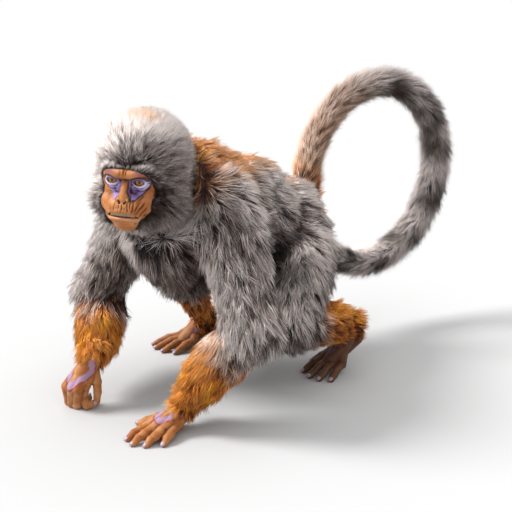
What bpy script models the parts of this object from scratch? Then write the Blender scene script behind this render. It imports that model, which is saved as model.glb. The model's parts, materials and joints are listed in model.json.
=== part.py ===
"""A life-size still model of a long-tailed monkey, walking on all fours.

Each named part of the body is one closed solid. It is shaped like clay: balls and tapered limbs are pressed
together, fused by a voxel remesh, smoothed and thinned to a light faceted mesh. Each part is then cut back
from the parts before it, so that neighbours meet across a narrow gap and never overlap.

Metres, +Z up. The monkey faces -Y, its left side is +X, and it stands on the plane z = 0.
"""

import math

import bmesh
import bpy
from mathutils import Matrix, Vector

# ---- Driving dimensions ----

GAP = 0.0006  # how far a part is cut back from its neighbour
FLOOR = 0.0014  # soles, pads and knuckles are pressed flat at this level

HEAD_CENTRE = Vector((0.0015, -0.0555, 0.3565))
HEAD_TURN = math.radians(21)  # towards the monkey's left
HEAD_NOD = math.radians(2)  # downwards
HEAD_TILT = math.radians(3)  # towards the monkey's left
EYE_RADIUS = 0.0100
EYE_SPREAD = 0.0185  # from the middle of the face to the middle of an eye
EYE_DEPTH = -0.0415
EYE_HEIGHT = -0.0040
LID_RADIUS = 0.0119
# The bare face is a plug set into the fur of the head, squarer at the brow than the chin.
FACE_WIDTH = 0.071
FACE_HEIGHT = 0.086
FACE_MIDDLE = -0.029
FACE_BACK = -0.022
FACE_FRONT = -0.100
FACE_SQUARENESS = (4.5, 2.4)
FACE_SIDES = 24
HALF_SPACE = (0.2, 0.2, 0.1)  # a box that holds everything on one side of the mouth

BALL_SUBDIVISIONS = 3
LIMB_SIDES = 20
EYE_SEGMENTS = (14, 8)
HOLLOW_SEGMENTS = (12, 8)
NOSTRIL_SEGMENTS = (10, 6)

# How each kind of part is fused: the voxel size, the triangles left of it, and how often it is smoothed.
FUSING = {
    "face": (0.0012, 765, 5), "mouth": (0.0006, 110, 1), "teeth": (0.0005, 72, 1), "ear": (0.0012, 80, 3),
    "head": (0.0030, 370, 8), "chest": (0.0040, 210, 10), "neck": (0.0040, 130, 8),
    "belly": (0.0040, 200, 10), "hips": (0.0040, 200, 10), "tail": (0.0030, 124, 6),
    "upper_arm": (0.0040, 170, 6), "forearm": (0.0035, 150, 6), "thigh": (0.0040, 165, 6),
    "shin": (0.0035, 150, 6), "hand_left": (0.0012, 380, 4), "hand_right": (0.0010, 420, 3),
    "foot": (0.0012, 380, 4),
}

# The head and face, in millimetres in the head's own frame: x to its left, -y to its front, z up.
# A ball is a centre and three radii. A line is its points, with a radius in metres for each.
FUR_BALLS = [((0, 10, 20), (66, 69, 62)), ((0, 14, -2), (69, 64, 56)), ((0, -22, 16), (48, 32, 24))]
CHEEK_FUR = ((40, -8, -36), (37, 44, 44))
BEARD = ((0, -16, -64), (40, 34, 28))
EAR_BALLS = [((61, 14, -8), (4.5, 13, 18)), ((57, 11, -10), (8, 8, 11))]
EAR_HOLLOW = ((73, 13, -8), (14, 16, 22))
FACE_PLATE = ((0, -23, -22), (46, 19, 54))
BROW_LINE = [(-30, -41, 3), (-16, -50.5, 9.5), (0, -52.5, 8), (16, -50.5, 9.5), (30, -41, 3)]
BROW_RADII = (0.0060, 0.0068, 0.0060, 0.0068, 0.0060)
BRIDGE_LINE = [(0, -51, 3), (0, -55, -9), (0, -62.5, -23)]
BRIDGE_RADII = (0.0050, 0.0054, 0.0060)
NOSE_WING = ((5.6, -62.5, -26), (4.8, 5, 4))
CHEEK = ((21, -38.5, -19), (12.5, 12, 10))
CHEEKBONE = ((31, -34, -5), (6, 11, 12))
MUZZLE = ((0, -44, -37), (31, 27, 20))
CHIN = ((0, -50, -58), (19, 15, 11))
NOSTRIL = ((4.2, -67, -29), (2.2, 3.4, 2.4))
EYE_SLIT = ((0, -12.5, -0.3), (8.2, 9.0, 4.3))
MOUTH_POINTS = [
    (-21, -57.5, -48), (-12.5, -67.5, -44.3), (0, -72, -43), (12.5, -67.5, -44.3), (21, -57.5, -48),
]
MOUTH_RADII = (0.0008, 0.0022, 0.0025, 0.0022, 0.0008)
MOUTH_DEPTHS = (0.0, 3.0, 6.0)
UPPER_LIP = ((0, 3.2, 4.6), (0.0046, 0.0054, 0.0056, 0.0054, 0.0046))
LOWER_LIP = ((0, 4.0, -4.2), (0.0040, 0.0044, 0.0046, 0.0044, 0.0040))
TEETH = ((0, 4.2, 0), (0.0013, 0.0015, 0.0013))
JAW_SLOPE = math.radians(-24)

# The trunk, in millimetres.
CHEST_BALLS = [
    ((0, 48, 266), (78, 85, 108)), ((0, -5, 264), (70, 62, 82)), ((0, 80, 315), (62, 70, 62)),
    ((62, 38, 292), (52, 58, 66)), ((-62, 22, 280), (52, 58, 66)),
]
BELLY_BALLS = [((0, 120, 256), (80, 78, 104)), ((0, 175, 246), (79, 75, 90)), ((0, 150, 290), (60, 90, 62))]
HIP_BALLS = [((0, 240, 226), (80, 75, 82)), ((0, 285, 205), (74, 58, 70)), ((0, 255, 252), (55, 75, 50))]
NECK_LINE = [(0, 52, 338), (2, 0, 338)]
NECK_RADII = (0.052, 0.058)

# Joint centres of each side: shoulder, elbow, wrist, and hip, knee, ankle.
ARM_JOINTS = {
    "left": (Vector((0.072, 0.032, 0.284)), Vector((0.146, -0.006, 0.155)), Vector((0.061, -0.052, 0.035))),
    "right": (
        Vector((-0.076, 0.010, 0.266)), Vector((-0.155, 0.008, 0.150)), Vector((-0.092, -0.072, 0.073)),
    ),
}
LEG_JOINTS = {
    "left": (Vector((0.052, 0.238, 0.196)), Vector((0.112, 0.126, 0.114)), Vector((0.130, 0.272, 0.068))),
    "right": (
        Vector((-0.052, 0.238, 0.196)), Vector((-0.089, 0.115, 0.158)), Vector((-0.122, 0.212, 0.044)),
    ),
}

# Outer radii of the limbs, out to the tips of the coat, at stations along each length.
UPPER_ARM_STATIONS = (0.0, 0.35, 0.75, 1.0)
UPPER_ARM_RADII = (0.054, 0.049, 0.043, 0.044)
FOREARM_STATIONS = (0.0, 0.3, 0.6, 0.9)
FOREARM_RADII = (0.042, 0.041, 0.037, 0.025)
FOREARM_SAG = {"left": Vector((-0.009, 0.002, -0.005)), "right": Vector((0.000, 0.006, -0.010))}
SAG_SHARES = (0.4, 1.0, 0.9, 0.2)  # of the sag, at each station
THIGH_STATIONS = (0.0, 0.4, 0.8, 1.0)
THIGH_RADII = (0.050, 0.052, 0.046, 0.040)
THIGH_OUTWARD = (0.008, 0.008, 0.0, 0.0)  # at each station
SHIN_STATIONS = (0.0, 0.35, 0.7, 0.98)
SHIN_RADII = {"left": (0.036, 0.036, 0.029, 0.020), "right": (0.030, 0.029, 0.025, 0.019)}
CALF_STATION = 0.68
CALF_LIFT = Vector((0, 0, 0.018))
CALF_RADIUS = {"left": 0.031, "right": 0.026}

# The tables of the hands and feet are in millimetres, and the radii in metres.
# The planted left hand. Each finger has a root, a bend and a tip, from the first finger to the little one.
FLAT_PALM = [(57.5, -63, 25.5), (45, -63, 11), (58, -63, 12)]
FLAT_FINGERS = [
    ((37.5, -87.5, 18), (33, -105.5, 13.5), (26.5, -123.3, 4.5)),
    ((49.5, -92.5, 18.5), (46.5, -112, 14), (42, -129, 4.5)),
    ((60.5, -88, 17.5), (61.5, -107, 13), (58.5, -121.5, 4.5)),
    ((67.5, -76, 15.5), (72, -90, 11.5), (74.7, -105.4, 4.5)),
]
FLAT_THUMB = [(48, -56, 18), (29, -67, 13), (16.5, -75, 9), (7, -81, 4.8)]
FLAT_SLEEVE = (4, 12, 12)  # from the wrist up into the forearm
FLAT_WRIST_RADII = (0.0155, 0.0150, 0.0150)
FLAT_HEEL_RADII = (0.0105, 0.0105)
FLAT_BONE_DROP = (0, 0, -6)  # of the hand's bones, where they leave the wrist
BONE_RADII = (0.0120, 0.0074)
BONE_START = 0.25  # of the way from the wrist to the finger's root
FLAT_FINGER_RADII = (0.0068, 0.0048)
THUMB_RADII = (0.0100, 0.0052)  # of the flat thumb and the big toes
LAST_JOINT = (0.55, (0, 0, 2))  # how far along the end of a finger, and how much higher

# The right fist stands on the bends of its fingers.
FIST_PALM = (-97, -85, 56)
FIST_FIRST_FINGER = [(-90.5, -89.5, 38), (-96.5, -90, 19), (-90, -88.5, 7.8), (-83, -81.5, 10)]
FIST_FINGERS = [
    ((-93.5, -101, 37), (-104, -94, 7.6), (-100, -76, 12)),
    ((-102, -103.5, 36), (-113, -95, 7.6), (-109, -79, 12)),
    ((-116, -101, 34.5), (-122.5, -92.5, 7.6), (-117, -79, 12)),
]
FIST_THUMB = [(-88, -73.5, 60), (-81.5, -75, 42), (-79.5, -76.5, 27), (-79.5, -79, 13.5)]
FIST_SLEEVE = (-8, 12, 12)
FIST_WRIST_RADII = (0.0150, 0.0145, 0.0145)
FIST_BONE_RADII = (0.0125, 0.0084)
FIST_FINGER_RADII = (0.0080, 0.0056)
FIST_LAST_JOINT = (0.6, (0, 0, -2))
FIRST_BONE_RADII = (0.0125, 0.0080)
FIRST_FINGER_RADII = (0.0074, 0.0052)
FIST_THUMB_RADII = (0.0075, 0.0050)

# The feet. The left heel is lifted, and the right foot is flat. Each toe has a root and a tip.
HEELS = {"left": (133.5, 278, 52), "right": (-104, 244, 11)}
TOES = {
    "left": [
        ((93, 244, 16.5), (81.5, 211, 4.5)),
        ((105, 239, 17), (101.3, 198.5, 4.5)),
        ((117.5, 240, 16.5), (119, 198.5, 4.5)),
        ((129, 246, 15), (135.2, 206.5, 4.5)),
    ],
    "right": [
        ((-157, 186, 16), (-183.5, 152.5, 4.5)),
        ((-146, 179, 16.5), (-169.5, 143, 4.5)),
        ((-134, 177, 16), (-150, 139, 4.5)),
        ((-122, 181, 15), (-129, 145, 4.5)),
    ],
}
BIG_TOES = {
    "left": [(118, 264, 36), (97, 268, 24), (81, 262, 13), (70, 254.5, 4.8)],
    "right": [(-112, 217, 20), (-98, 202, 13), (-88, 188, 9), (-82, 175, 4.8)],
}
ANKLE_SLEEVE = (0, 0, 12)
ANKLE_RADII = (0.0150, 0.0160, 0.0120)
INSTEP_SHARE = 0.45
INSTEP_RADII = (0.0155, 0.0150, 0.0110)
SOLE_RADII = (0.0120, 0.0110, 0.0090)
TOE_ARCH = (0.45, (0, 0, 3.5))  # how far along the toe, and how much higher
TOE_LAST_JOINT = (0.78, (0, 0, 1.5))
TOE_BONE_START = 0.15
TOE_BONE_RADII = (0.0115, 0.0072)
TOE_RADII = (0.0066, 0.0048)
JOINT_SWELLING = 1.08

# The tail is an oval loop in an upright plane that is turned a little towards the monkey's left.
TAIL_ROOT = Vector((0.000, 0.322, 0.238))
TAIL_TURN = math.radians(22)
TAIL_LOOP_CENTRE = (0.140, 0.277)  # along the plane from the tail's root, and above the floor
TAIL_LOOP_RADIUS = 0.146
TAIL_LOOP_OVAL = 0.010
TAIL_LOOP_LEAN = math.radians(70)
TAIL_START = math.radians(206)
TAIL_END = math.radians(-122)
TAIL_RADII = (0.0270, 0.0260, 0.0275, 0.0290, 0.0290, 0.0260)
TAIL_LENGTHS = 5
TAIL_STATIONS = 7  # in each length
TAIL_TIP_RADIUS = 0.020
TAIL_TIP_REACH = 0.018  # as a share of the tail's run, past its last station

FLOOR_LOW = Vector((-0.5, -0.5, -0.1))
FLOOR_HIGH = Vector((0.5, 0.8, FLOOR))

COLOURS = {
    "grey_fur": (0.42, 0.39, 0.38, 1.0),
    "orange_fur": (0.55, 0.24, 0.06, 1.0),
    "face_skin": (0.50, 0.20, 0.06, 1.0),
    "hand_skin": (0.46, 0.20, 0.07, 1.0),
    "eye": (0.60, 0.25, 0.02, 1.0),
    "tooth": (0.60, 0.54, 0.42, 1.0),
}
ROUGHNESS = {
    "grey_fur": 0.8, "orange_fur": 0.8, "face_skin": 0.5, "hand_skin": 0.5, "eye": 0.15, "tooth": 0.3,
}


def millimetres(*values):
    return Vector(values) * 0.001


def places(rows):
    """Points given in millimetres."""
    return [millimetres(*row) for row in rows]


# ---- Scene and materials ----

for old in list(bpy.data.objects):
    bpy.data.objects.remove(old, do_unlink=True)
MODEL = bpy.data.collections.new("monkey")
HELPERS = bpy.data.collections.new("cutters")
for group in (MODEL, HELPERS):
    bpy.context.scene.collection.children.link(group)


def make_material(name):
    material = bpy.data.materials.new(name)
    material.use_nodes = True
    shader = material.node_tree.nodes["Principled BSDF"]
    shader.inputs["Base Color"].default_value = COLOURS[name]
    shader.inputs["Roughness"].default_value = ROUGHNESS[name]
    shader.inputs["Metallic"].default_value = 0.0
    return material


MATERIALS = {name: make_material(name) for name in COLOURS}


# ---- Clay: balls and limbs pressed together ----


class Clay:
    """Closed shapes that overlap, to be fused into one body."""

    def __init__(self, place=None):
        self.bm = bmesh.new()
        self.place = place or Matrix.Identity(4)

    def ball(self, centre, radii):
        """An ellipsoid, or a ball if there is only one radius."""
        if isinstance(radii, float):
            radii = (radii, radii, radii)
        matrix = self.place @ Matrix.Translation(centre) @ Matrix.Diagonal((*radii, 1.0))
        bmesh.ops.create_icosphere(self.bm, subdivisions=BALL_SUBDIVISIONS, radius=1.0, matrix=matrix)
        return self

    def balls(self, rows):
        """Ellipsoids, each a centre and radii in millimetres."""
        for centre, radii in rows:
            self.ball(millimetres(*centre), millimetres(*radii))
        return self

    def limb(self, points, radii):
        """A chain of tapered round lengths with a ball at each joint."""
        for point, radius in zip(points, radii):
            self.ball(point, radius)
        for a, b, radius_a, radius_b in zip(points, points[1:], radii, radii[1:]):
            along = b - a
            turn = along.to_track_quat("Z", "Y").to_matrix().to_4x4()
            matrix = self.place @ Matrix.Translation((a + b) / 2) @ turn
            bmesh.ops.create_cone(
                self.bm, cap_ends=True, segments=LIMB_SIDES, radius1=radius_a, radius2=radius_b,
                depth=along.length, matrix=matrix,
            )
        return self

    def pair(self, centre, radii):
        """The same ellipsoid on both sides of the middle plane, in millimetres."""
        radii = millimetres(*radii)
        return self.ball(millimetres(*centre), radii).ball(millimetres(-centre[0], *centre[1:]), radii)

    def fused(self, name, kind):
        """The clay as one closed mesh, fused and thinned as its kind of part is."""
        voxel, triangles, smoothing = FUSING[kind]
        mesh = bpy.data.meshes.new(name)
        self.bm.to_mesh(mesh)
        self.bm.free()
        lump = bpy.data.objects.new(name, mesh)
        HELPERS.objects.link(lump)
        remesh = lump.modifiers.new("fuse", "REMESH")
        remesh.mode = "VOXEL"
        remesh.voxel_size = voxel
        smooth = lump.modifiers.new("smooth", "SMOOTH")
        smooth.factor = 0.5
        smooth.iterations = smoothing
        dense = evaluated_mesh(lump)
        count = sum(len(face.vertices) - 2 for face in dense.polygons)
        thin = lump.modifiers.new("thin", "DECIMATE")
        thin.ratio = min(1.0, triangles / count)
        bpy.data.meshes.remove(dense)
        light = evaluated_mesh(lump)
        bpy.data.objects.remove(lump)
        return light


def evaluated_mesh(obj):
    bpy.context.view_layer.update()
    graph = bpy.context.evaluated_depsgraph_get()
    return bpy.data.meshes.new_from_object(obj.evaluated_get(graph))


# ---- Cutting parts back from each other ----


def cutter_from(mesh, grow=0.0):
    """A hidden helper object of this mesh, grown outwards."""
    cutter = bpy.data.objects.new("cutter", mesh.copy())
    HELPERS.objects.link(cutter)
    cutter.hide_render = True
    cutter.display_type = "WIRE"
    if grow:
        swell = cutter.modifiers.new("grow", "DISPLACE")
        swell.strength = grow
        swell.mid_level = 0.0
    return cutter


def box_cutter(low, high):
    bm = bmesh.new()
    size = high - low
    matrix = Matrix.Translation((low + high) / 2) @ Matrix.Diagonal((*size, 1.0))
    bmesh.ops.create_cube(bm, size=1.0, matrix=matrix)
    mesh = bpy.data.meshes.new("box")
    bm.to_mesh(mesh)
    bm.free()
    return cutter_from(mesh)


def largest_island(mesh):
    """Keeps the biggest connected piece of a mesh."""
    bm = bmesh.new()
    bm.from_mesh(mesh)
    left = set(bm.verts)
    islands = []
    while left:
        todo = [left.pop()]
        island = set(todo)
        while todo:
            for edge in todo.pop().link_edges:
                for vert in edge.verts:
                    if vert in left:
                        left.discard(vert)
                        island.add(vert)
                        todo.append(vert)
        islands.append(island)
    islands.sort(key=len)
    for island in islands[:-1]:
        bmesh.ops.delete(bm, geom=list(island), context="VERTS")
    bm.to_mesh(mesh)
    bm.free()
    return mesh


def carved(mesh, cutters, operation="DIFFERENCE"):
    """The mesh less each of the cutters, or only what is inside them."""
    work = bpy.data.objects.new("work", mesh)
    HELPERS.objects.link(work)
    for cutter in cutters:
        cut = work.modifiers.new("cut", "BOOLEAN")
        cut.operation = operation
        cut.object = cutter
    result = evaluated_mesh(work)
    bpy.data.objects.remove(work)
    for cutter in cutters:
        bpy.data.objects.remove(cutter)
    return largest_island(result)


CLAYS = []  # the whole clay of each part so far, which later parts are cut back from


def bounds_meet(one, other):
    """Whether the boxes around two meshes come within a gap of each other."""
    for axis in range(3):
        low = [min(v.co[axis] for v in mesh.vertices) - GAP for mesh in (one, other)]
        high = [max(v.co[axis] for v in mesh.vertices) + GAP for mesh in (one, other)]
        if low[0] > high[1] or low[1] > high[0]:
            return False
    return True


def add_node(name, mesh, material):
    mesh.name = name
    mesh.materials.clear()
    mesh.materials.append(MATERIALS[material])
    mesh.shade_smooth()
    MODEL.objects.link(bpy.data.objects.new(name, mesh))


def add_part(name, clay_mesh, material, more_cutters=()):
    """Adds a node: its clay less the clay of every earlier part that it touches, grown by the gap."""
    cutters = [cutter_from(other, GAP) for other in CLAYS if bounds_meet(clay_mesh, other)]
    CLAYS.append(clay_mesh)
    add_node(name, carved(clay_mesh.copy(), cutters + list(more_cutters)), material)


def floor_cutter():
    return box_cutter(FLOOR_LOW, FLOOR_HIGH)


# ---- Head: face, jaw, eyes, ears and teeth ----

HEAD = (
    Matrix.Translation(HEAD_CENTRE)
    @ Matrix.Rotation(HEAD_TURN, 4, "Z")
    @ Matrix.Rotation(HEAD_NOD, 4, "X")
    @ Matrix.Rotation(HEAD_TILT, 4, "Y")
)
MOUTH_LINE = places(MOUTH_POINTS)


def eye_centre(side):
    return Vector((side * EYE_SPREAD, EYE_DEPTH, EYE_HEIGHT))


def round_solid(centre, radii, segments=EYE_SEGMENTS):
    """An ellipsoid in the head's frame, as a mesh."""
    bm = bmesh.new()
    matrix = HEAD @ Matrix.Translation(centre) @ Matrix.Diagonal((*radii, 1.0))
    bmesh.ops.create_uvsphere(bm, u_segments=segments[0], v_segments=segments[1], radius=1.0, matrix=matrix)
    mesh = bpy.data.meshes.new("round")
    bm.to_mesh(mesh)
    bm.free()
    return mesh


def side_solid(side, ball, segments):
    """An ellipsoid of the left side of the head, or its mirror image, from millimetres."""
    (across, back, up), radii = ball
    return round_solid(millimetres(side * across, back, up), millimetres(*radii), segments)


def face_plug(grow):
    """The plug in the head that holds the bare face, open to the front."""
    bm = bmesh.new()
    ring = bmesh.ops.create_circle(bm, cap_ends=True, segments=FACE_SIDES, radius=1.0)["verts"]
    for vert in ring:
        power = 2 / FACE_SQUARENESS[0 if vert.co.y > 0 else 1]
        across = math.copysign(abs(vert.co.x) ** power, vert.co.x) * (FACE_WIDTH / 2 + grow)
        up = math.copysign(abs(vert.co.y) ** power, vert.co.y) * (FACE_HEIGHT / 2 + grow)
        vert.co = Vector((across, FACE_BACK + grow, FACE_MIDDLE + up))
    front = bmesh.ops.extrude_face_region(bm, geom=bm.faces[:])["geom"]
    for vert in front:
        if isinstance(vert, bmesh.types.BMVert):
            vert.co.y = FACE_FRONT
    bmesh.ops.recalc_face_normals(bm, faces=bm.faces[:])
    bm.transform(HEAD)
    mesh = bpy.data.meshes.new("plug")
    bm.to_mesh(mesh)
    bm.free()
    return mesh


def face_clay():
    clay = Clay(HEAD)
    clay.balls([FACE_PLATE, MUZZLE, CHIN])
    clay.limb(places(BROW_LINE), BROW_RADII)
    clay.limb(places(BRIDGE_LINE), BRIDGE_RADII)
    for centre, radii in (NOSE_WING, CHEEK, CHEEKBONE):
        clay.pair(centre, radii)
    for side in (-1, 1):
        clay.ball(eye_centre(side), LID_RADIUS)
    for shift, radii in (UPPER_LIP, LOWER_LIP):
        clay.limb([p + millimetres(*shift) for p in MOUTH_LINE], radii)
    return clay.fused("face", "face")


def mouth_slit():
    clay = Clay(HEAD)
    for depth in MOUTH_DEPTHS:
        clay.limb([p + millimetres(0, depth, 0) for p in MOUTH_LINE], MOUTH_RADII)
    return clay.fused("mouth", "mouth")


def add_face():
    """The bare face is split at the mouth into face and jaw. Sockets, eye slits and nostrils are cut in."""
    cutters = [cutter_from(mouth_slit())]
    for side in (-1, 1):
        centre = eye_centre(side)
        cutters.append(cutter_from(round_solid(centre, [EYE_RADIUS + GAP] * 3)))
        opening = round_solid(centre + millimetres(*EYE_SLIT[0]), millimetres(*EYE_SLIT[1]))
        nostril = side_solid(side, NOSTRIL, NOSTRIL_SEGMENTS)
        cutters += [cutter_from(opening), cutter_from(nostril)]
    plugged = carved(face_clay(), [cutter_from(face_plug(0.0))], "INTERSECT")
    bare = carved(plugged, cutters)
    corner = Matrix.Translation(Vector((0, MOUTH_LINE[0].y, MOUTH_LINE[0].z)))
    seam = HEAD @ corner @ Matrix.Rotation(JAW_SLOPE, 4, "X")
    for name, side in (("face", -1), ("jaw", 1)):
        bm = bmesh.new()
        away = Matrix.Translation((0, 0, side * (HALF_SPACE[2] - GAP) / 2))
        bmesh.ops.create_cube(bm, size=1.0, matrix=seam @ away @ Matrix.Diagonal((*HALF_SPACE, 1.0)))
        mesh = bpy.data.meshes.new("half")
        bm.to_mesh(mesh)
        bm.free()
        add_node(name, carved(bare.copy(), [cutter_from(mesh)]), "face_skin")
    for name, side in (("eye_left", 1), ("eye_right", -1)):
        add_node(name, round_solid(eye_centre(side), [EYE_RADIUS] * 3), "eye")
    teeth = Clay(HEAD)
    teeth.limb([p + millimetres(*TEETH[0]) for p in MOUTH_LINE[1:4]], TEETH[1])
    add_node("teeth_upper", teeth.fused("teeth", "teeth"), "tooth")


def add_head():
    """The furred head, hollowed for the face and for the ears."""
    hollows = [cutter_from(face_plug(GAP))]
    for name, side in (("ear_left", 1), ("ear_right", -1)):
        ear = Clay(HEAD @ Matrix.Scale(side, 4, (1, 0, 0)))
        ear.balls(EAR_BALLS)
        mesh = ear.fused(name, "ear")
        hollows.append(cutter_from(mesh, GAP))
        add_node(name, mesh, "face_skin")
        hollows.append(cutter_from(side_solid(side, EAR_HOLLOW, HOLLOW_SEGMENTS)))
    fur = Clay(HEAD)
    fur.balls(FUR_BALLS)
    fur.pair(*CHEEK_FUR)
    fur.balls([BEARD])
    add_part("head", fur.fused("head", "head"), "grey_fur", more_cutters=hollows)


# ---- Neck and trunk ----


def add_trunk():
    add_part("chest", Clay().balls(CHEST_BALLS).fused("chest", "chest"), "grey_fur")
    neck = Clay().limb(places(NECK_LINE), NECK_RADII)
    add_part("neck", neck.fused("neck", "neck"), "grey_fur")
    add_part("belly", Clay().balls(BELLY_BALLS).fused("belly", "belly"), "grey_fur")
    add_part("hips", Clay().balls(HIP_BALLS).fused("hips", "hips"), "grey_fur")


# ---- Tail ----


def tail_point(share):
    """The middle of the tail, from 0 at its root to 1 at its tip."""
    angle = TAIL_START + (TAIL_END - TAIL_START) * share
    radius = TAIL_LOOP_RADIUS + TAIL_LOOP_OVAL * math.cos(2 * (angle - TAIL_LOOP_LEAN))
    along = TAIL_LOOP_CENTRE[0] + radius * math.cos(angle)
    return Vector((
        TAIL_ROOT.x + along * math.sin(TAIL_TURN),
        TAIL_ROOT.y + along * math.cos(TAIL_TURN),
        TAIL_LOOP_CENTRE[1] + radius * math.sin(angle),
    ))


def tail_radius(share):
    place = share * (len(TAIL_RADII) - 1)
    at = min(int(place), len(TAIL_RADII) - 2)
    return TAIL_RADII[at] + (TAIL_RADII[at + 1] - TAIL_RADII[at]) * (place - at)


def add_tail():
    for number in range(TAIL_LENGTHS):
        shares = [(number + i / (TAIL_STATIONS - 1)) / TAIL_LENGTHS for i in range(TAIL_STATIONS)]
        clay = Clay().limb([tail_point(s) for s in shares], [tail_radius(s) for s in shares])
        if number == TAIL_LENGTHS - 1:
            clay.ball(tail_point(1.0) * 2 - tail_point(1.0 - TAIL_TIP_REACH), TAIL_TIP_RADIUS)
        name = f"tail_{number + 1}"
        add_part(name, clay.fused(name, "tail"), "grey_fur")


# ---- Arms and legs ----


def between(a, b, share):
    return a + (b - a) * share


def stations_between(a, b, shares):
    return [between(a, b, share) for share in shares]


def add_arm(side):
    shoulder, elbow, wrist = ARM_JOINTS[side]
    upper = Clay().limb(stations_between(shoulder, elbow, UPPER_ARM_STATIONS), UPPER_ARM_RADII)
    upper_name = "upper_arm_" + side
    add_part(upper_name, upper.fused(upper_name, "upper_arm"), "grey_fur")

    sag = FOREARM_SAG[side]
    stations = stations_between(elbow, wrist, FOREARM_STATIONS)
    fore = Clay().limb([p + sag * share for p, share in zip(stations, SAG_SHARES)], FOREARM_RADII)
    fore_name = "forearm_" + side
    add_part(fore_name, fore.fused(fore_name, "forearm"), "orange_fur")


def add_leg(side):
    hip, knee, ankle = LEG_JOINTS[side]
    way = 1 if side == "left" else -1
    stations = stations_between(hip, knee, THIGH_STATIONS)
    stations = [p + Vector((way * out, 0, 0)) for p, out in zip(stations, THIGH_OUTWARD)]
    thigh = Clay().limb(stations, THIGH_RADII)
    thigh_name = "thigh_" + side
    add_part(thigh_name, thigh.fused(thigh_name, "thigh"), "grey_fur")

    shin = Clay().ball(between(knee, ankle, CALF_STATION) + CALF_LIFT, CALF_RADIUS[side])
    shin.limb(stations_between(knee, ankle, SHIN_STATIONS), SHIN_RADII[side])
    shin_name = "shin_" + side
    add_part(shin_name, shin.fused(shin_name, "shin"), "orange_fur")


# ---- Hands and feet ----


def digit(clay, points, ends):
    """One finger or toe, from one radius to another, swollen a little at its joints."""
    count = len(points) - 1
    radii = [ends[0] + (ends[1] - ends[0]) * i / count for i in range(count + 1)]
    clay.limb(points, radii)
    for point, radius in list(zip(points, radii))[1:-1]:
        clay.ball(point, radius * JOINT_SWELLING)


def on_the_way(a, b, joint):
    """A joint between two points: how far along, and how much higher in millimetres."""
    share, lift = joint
    return between(a, b, share) + millimetres(*lift)


def add_flat_hand():
    """The left hand is planted, with its fingers spread."""
    wrist = ARM_JOINTS["left"][2]
    clay = Clay()
    knuckles, inner_heel, outer_heel = places(FLAT_PALM)
    clay.limb([wrist + millimetres(*FLAT_SLEEVE), wrist, knuckles], FLAT_WRIST_RADII)
    clay.limb([inner_heel, outer_heel], FLAT_HEEL_RADII)
    for root, bend, tip in map(places, FLAT_FINGERS):
        clay.limb([on_the_way(wrist, root, (BONE_START, FLAT_BONE_DROP)), root], BONE_RADII)
        digit(clay, [root, bend, on_the_way(bend, tip, LAST_JOINT), tip], FLAT_FINGER_RADII)
    digit(clay, places(FLAT_THUMB), THUMB_RADII)
    add_part("hand_left", clay.fused("hand_left", "hand_left"), "hand_skin", more_cutters=[floor_cutter()])


def add_fist():
    """The right hand is a loose fist: it rests on its bent knuckles, and the thumb meets the first finger."""
    wrist = ARM_JOINTS["right"][2]
    clay = Clay()
    clay.limb([wrist + millimetres(*FIST_SLEEVE), wrist, millimetres(*FIST_PALM)], FIST_WRIST_RADII)
    for root, bend, tip in map(places, FIST_FINGERS):
        clay.limb([between(wrist, root, BONE_START), root], FIST_BONE_RADII)
        digit(clay, [root, bend, on_the_way(bend, tip, FIST_LAST_JOINT), tip], FIST_FINGER_RADII)
    first_finger = places(FIST_FIRST_FINGER)
    clay.limb([between(wrist, first_finger[0], BONE_START), first_finger[0]], FIRST_BONE_RADII)
    digit(clay, first_finger, FIRST_FINGER_RADII)
    digit(clay, places(FIST_THUMB), FIST_THUMB_RADII)
    add_part("hand_right", clay.fused("hand_right", "hand_right"), "hand_skin", more_cutters=[floor_cutter()])


def add_foot(side):
    """A foot from its heel to its four long toes, with the big toe set apart on the inner side."""
    ankle = LEG_JOINTS[side][2]
    heel = millimetres(*HEELS[side])
    toes = [places(toe) for toe in TOES[side]]
    name = "foot_" + side
    clay = Clay()
    ball = (toes[1][0] + toes[2][0]) / 2
    instep = between(ankle, ball, INSTEP_SHARE)
    clay.limb([ankle + millimetres(*ANKLE_SLEEVE), ankle, heel], ANKLE_RADII)
    clay.limb([ankle, instep, ball], INSTEP_RADII)
    clay.limb([heel, (heel + ball) / 2, ball], SOLE_RADII)
    for root, tip in toes:
        clay.limb([between(instep, root, TOE_BONE_START), root], TOE_BONE_RADII)
        joints = [on_the_way(root, tip, joint) for joint in (TOE_ARCH, TOE_LAST_JOINT)]
        digit(clay, [root, *joints, tip], TOE_RADII)
    digit(clay, places(BIG_TOES[side]), THUMB_RADII)
    add_part(name, clay.fused(name, "foot"), "hand_skin", more_cutters=[floor_cutter()])


# ---- The monkey ----

add_face()
add_head()
add_trunk()
for body_side in ("left", "right"):
    add_arm(body_side)
    add_leg(body_side)
add_tail()
add_flat_hand()
add_fist()
for body_side in ("left", "right"):
    add_foot(body_side)

# The origin is on the floor under the middle of the whole model.
corners = [node.matrix_world @ Vector(corner) for node in MODEL.objects for corner in node.bound_box]
middle = Vector((
    (min(c.x for c in corners) + max(c.x for c in corners)) / 2,
    (min(c.y for c in corners) + max(c.y for c in corners)) / 2,
    min(c.z for c in corners),
))
for node in MODEL.objects:
    node.data.transform(Matrix.Translation(-middle))
    print(node.name, len(node.data.polygons), "faces")
print("origin moved by", [round(value, 5) for value in middle])
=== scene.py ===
# %% [markdown]
# A long-tailed monkey, walking on all fours, as a still life-size model.
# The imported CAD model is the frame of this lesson: it says where every part of the body is and how far out
# the tips of the coat reach. Over that frame one skin is shaped like clay, and the skin then grows a coat.

# %% Load the frame
import json
import math

import bmesh
import bpy
import numpy as np
from mathutils import Matrix, Vector
from mathutils.bvhtree import BVHTree
from mathutils.kdtree import KDTree

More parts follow.
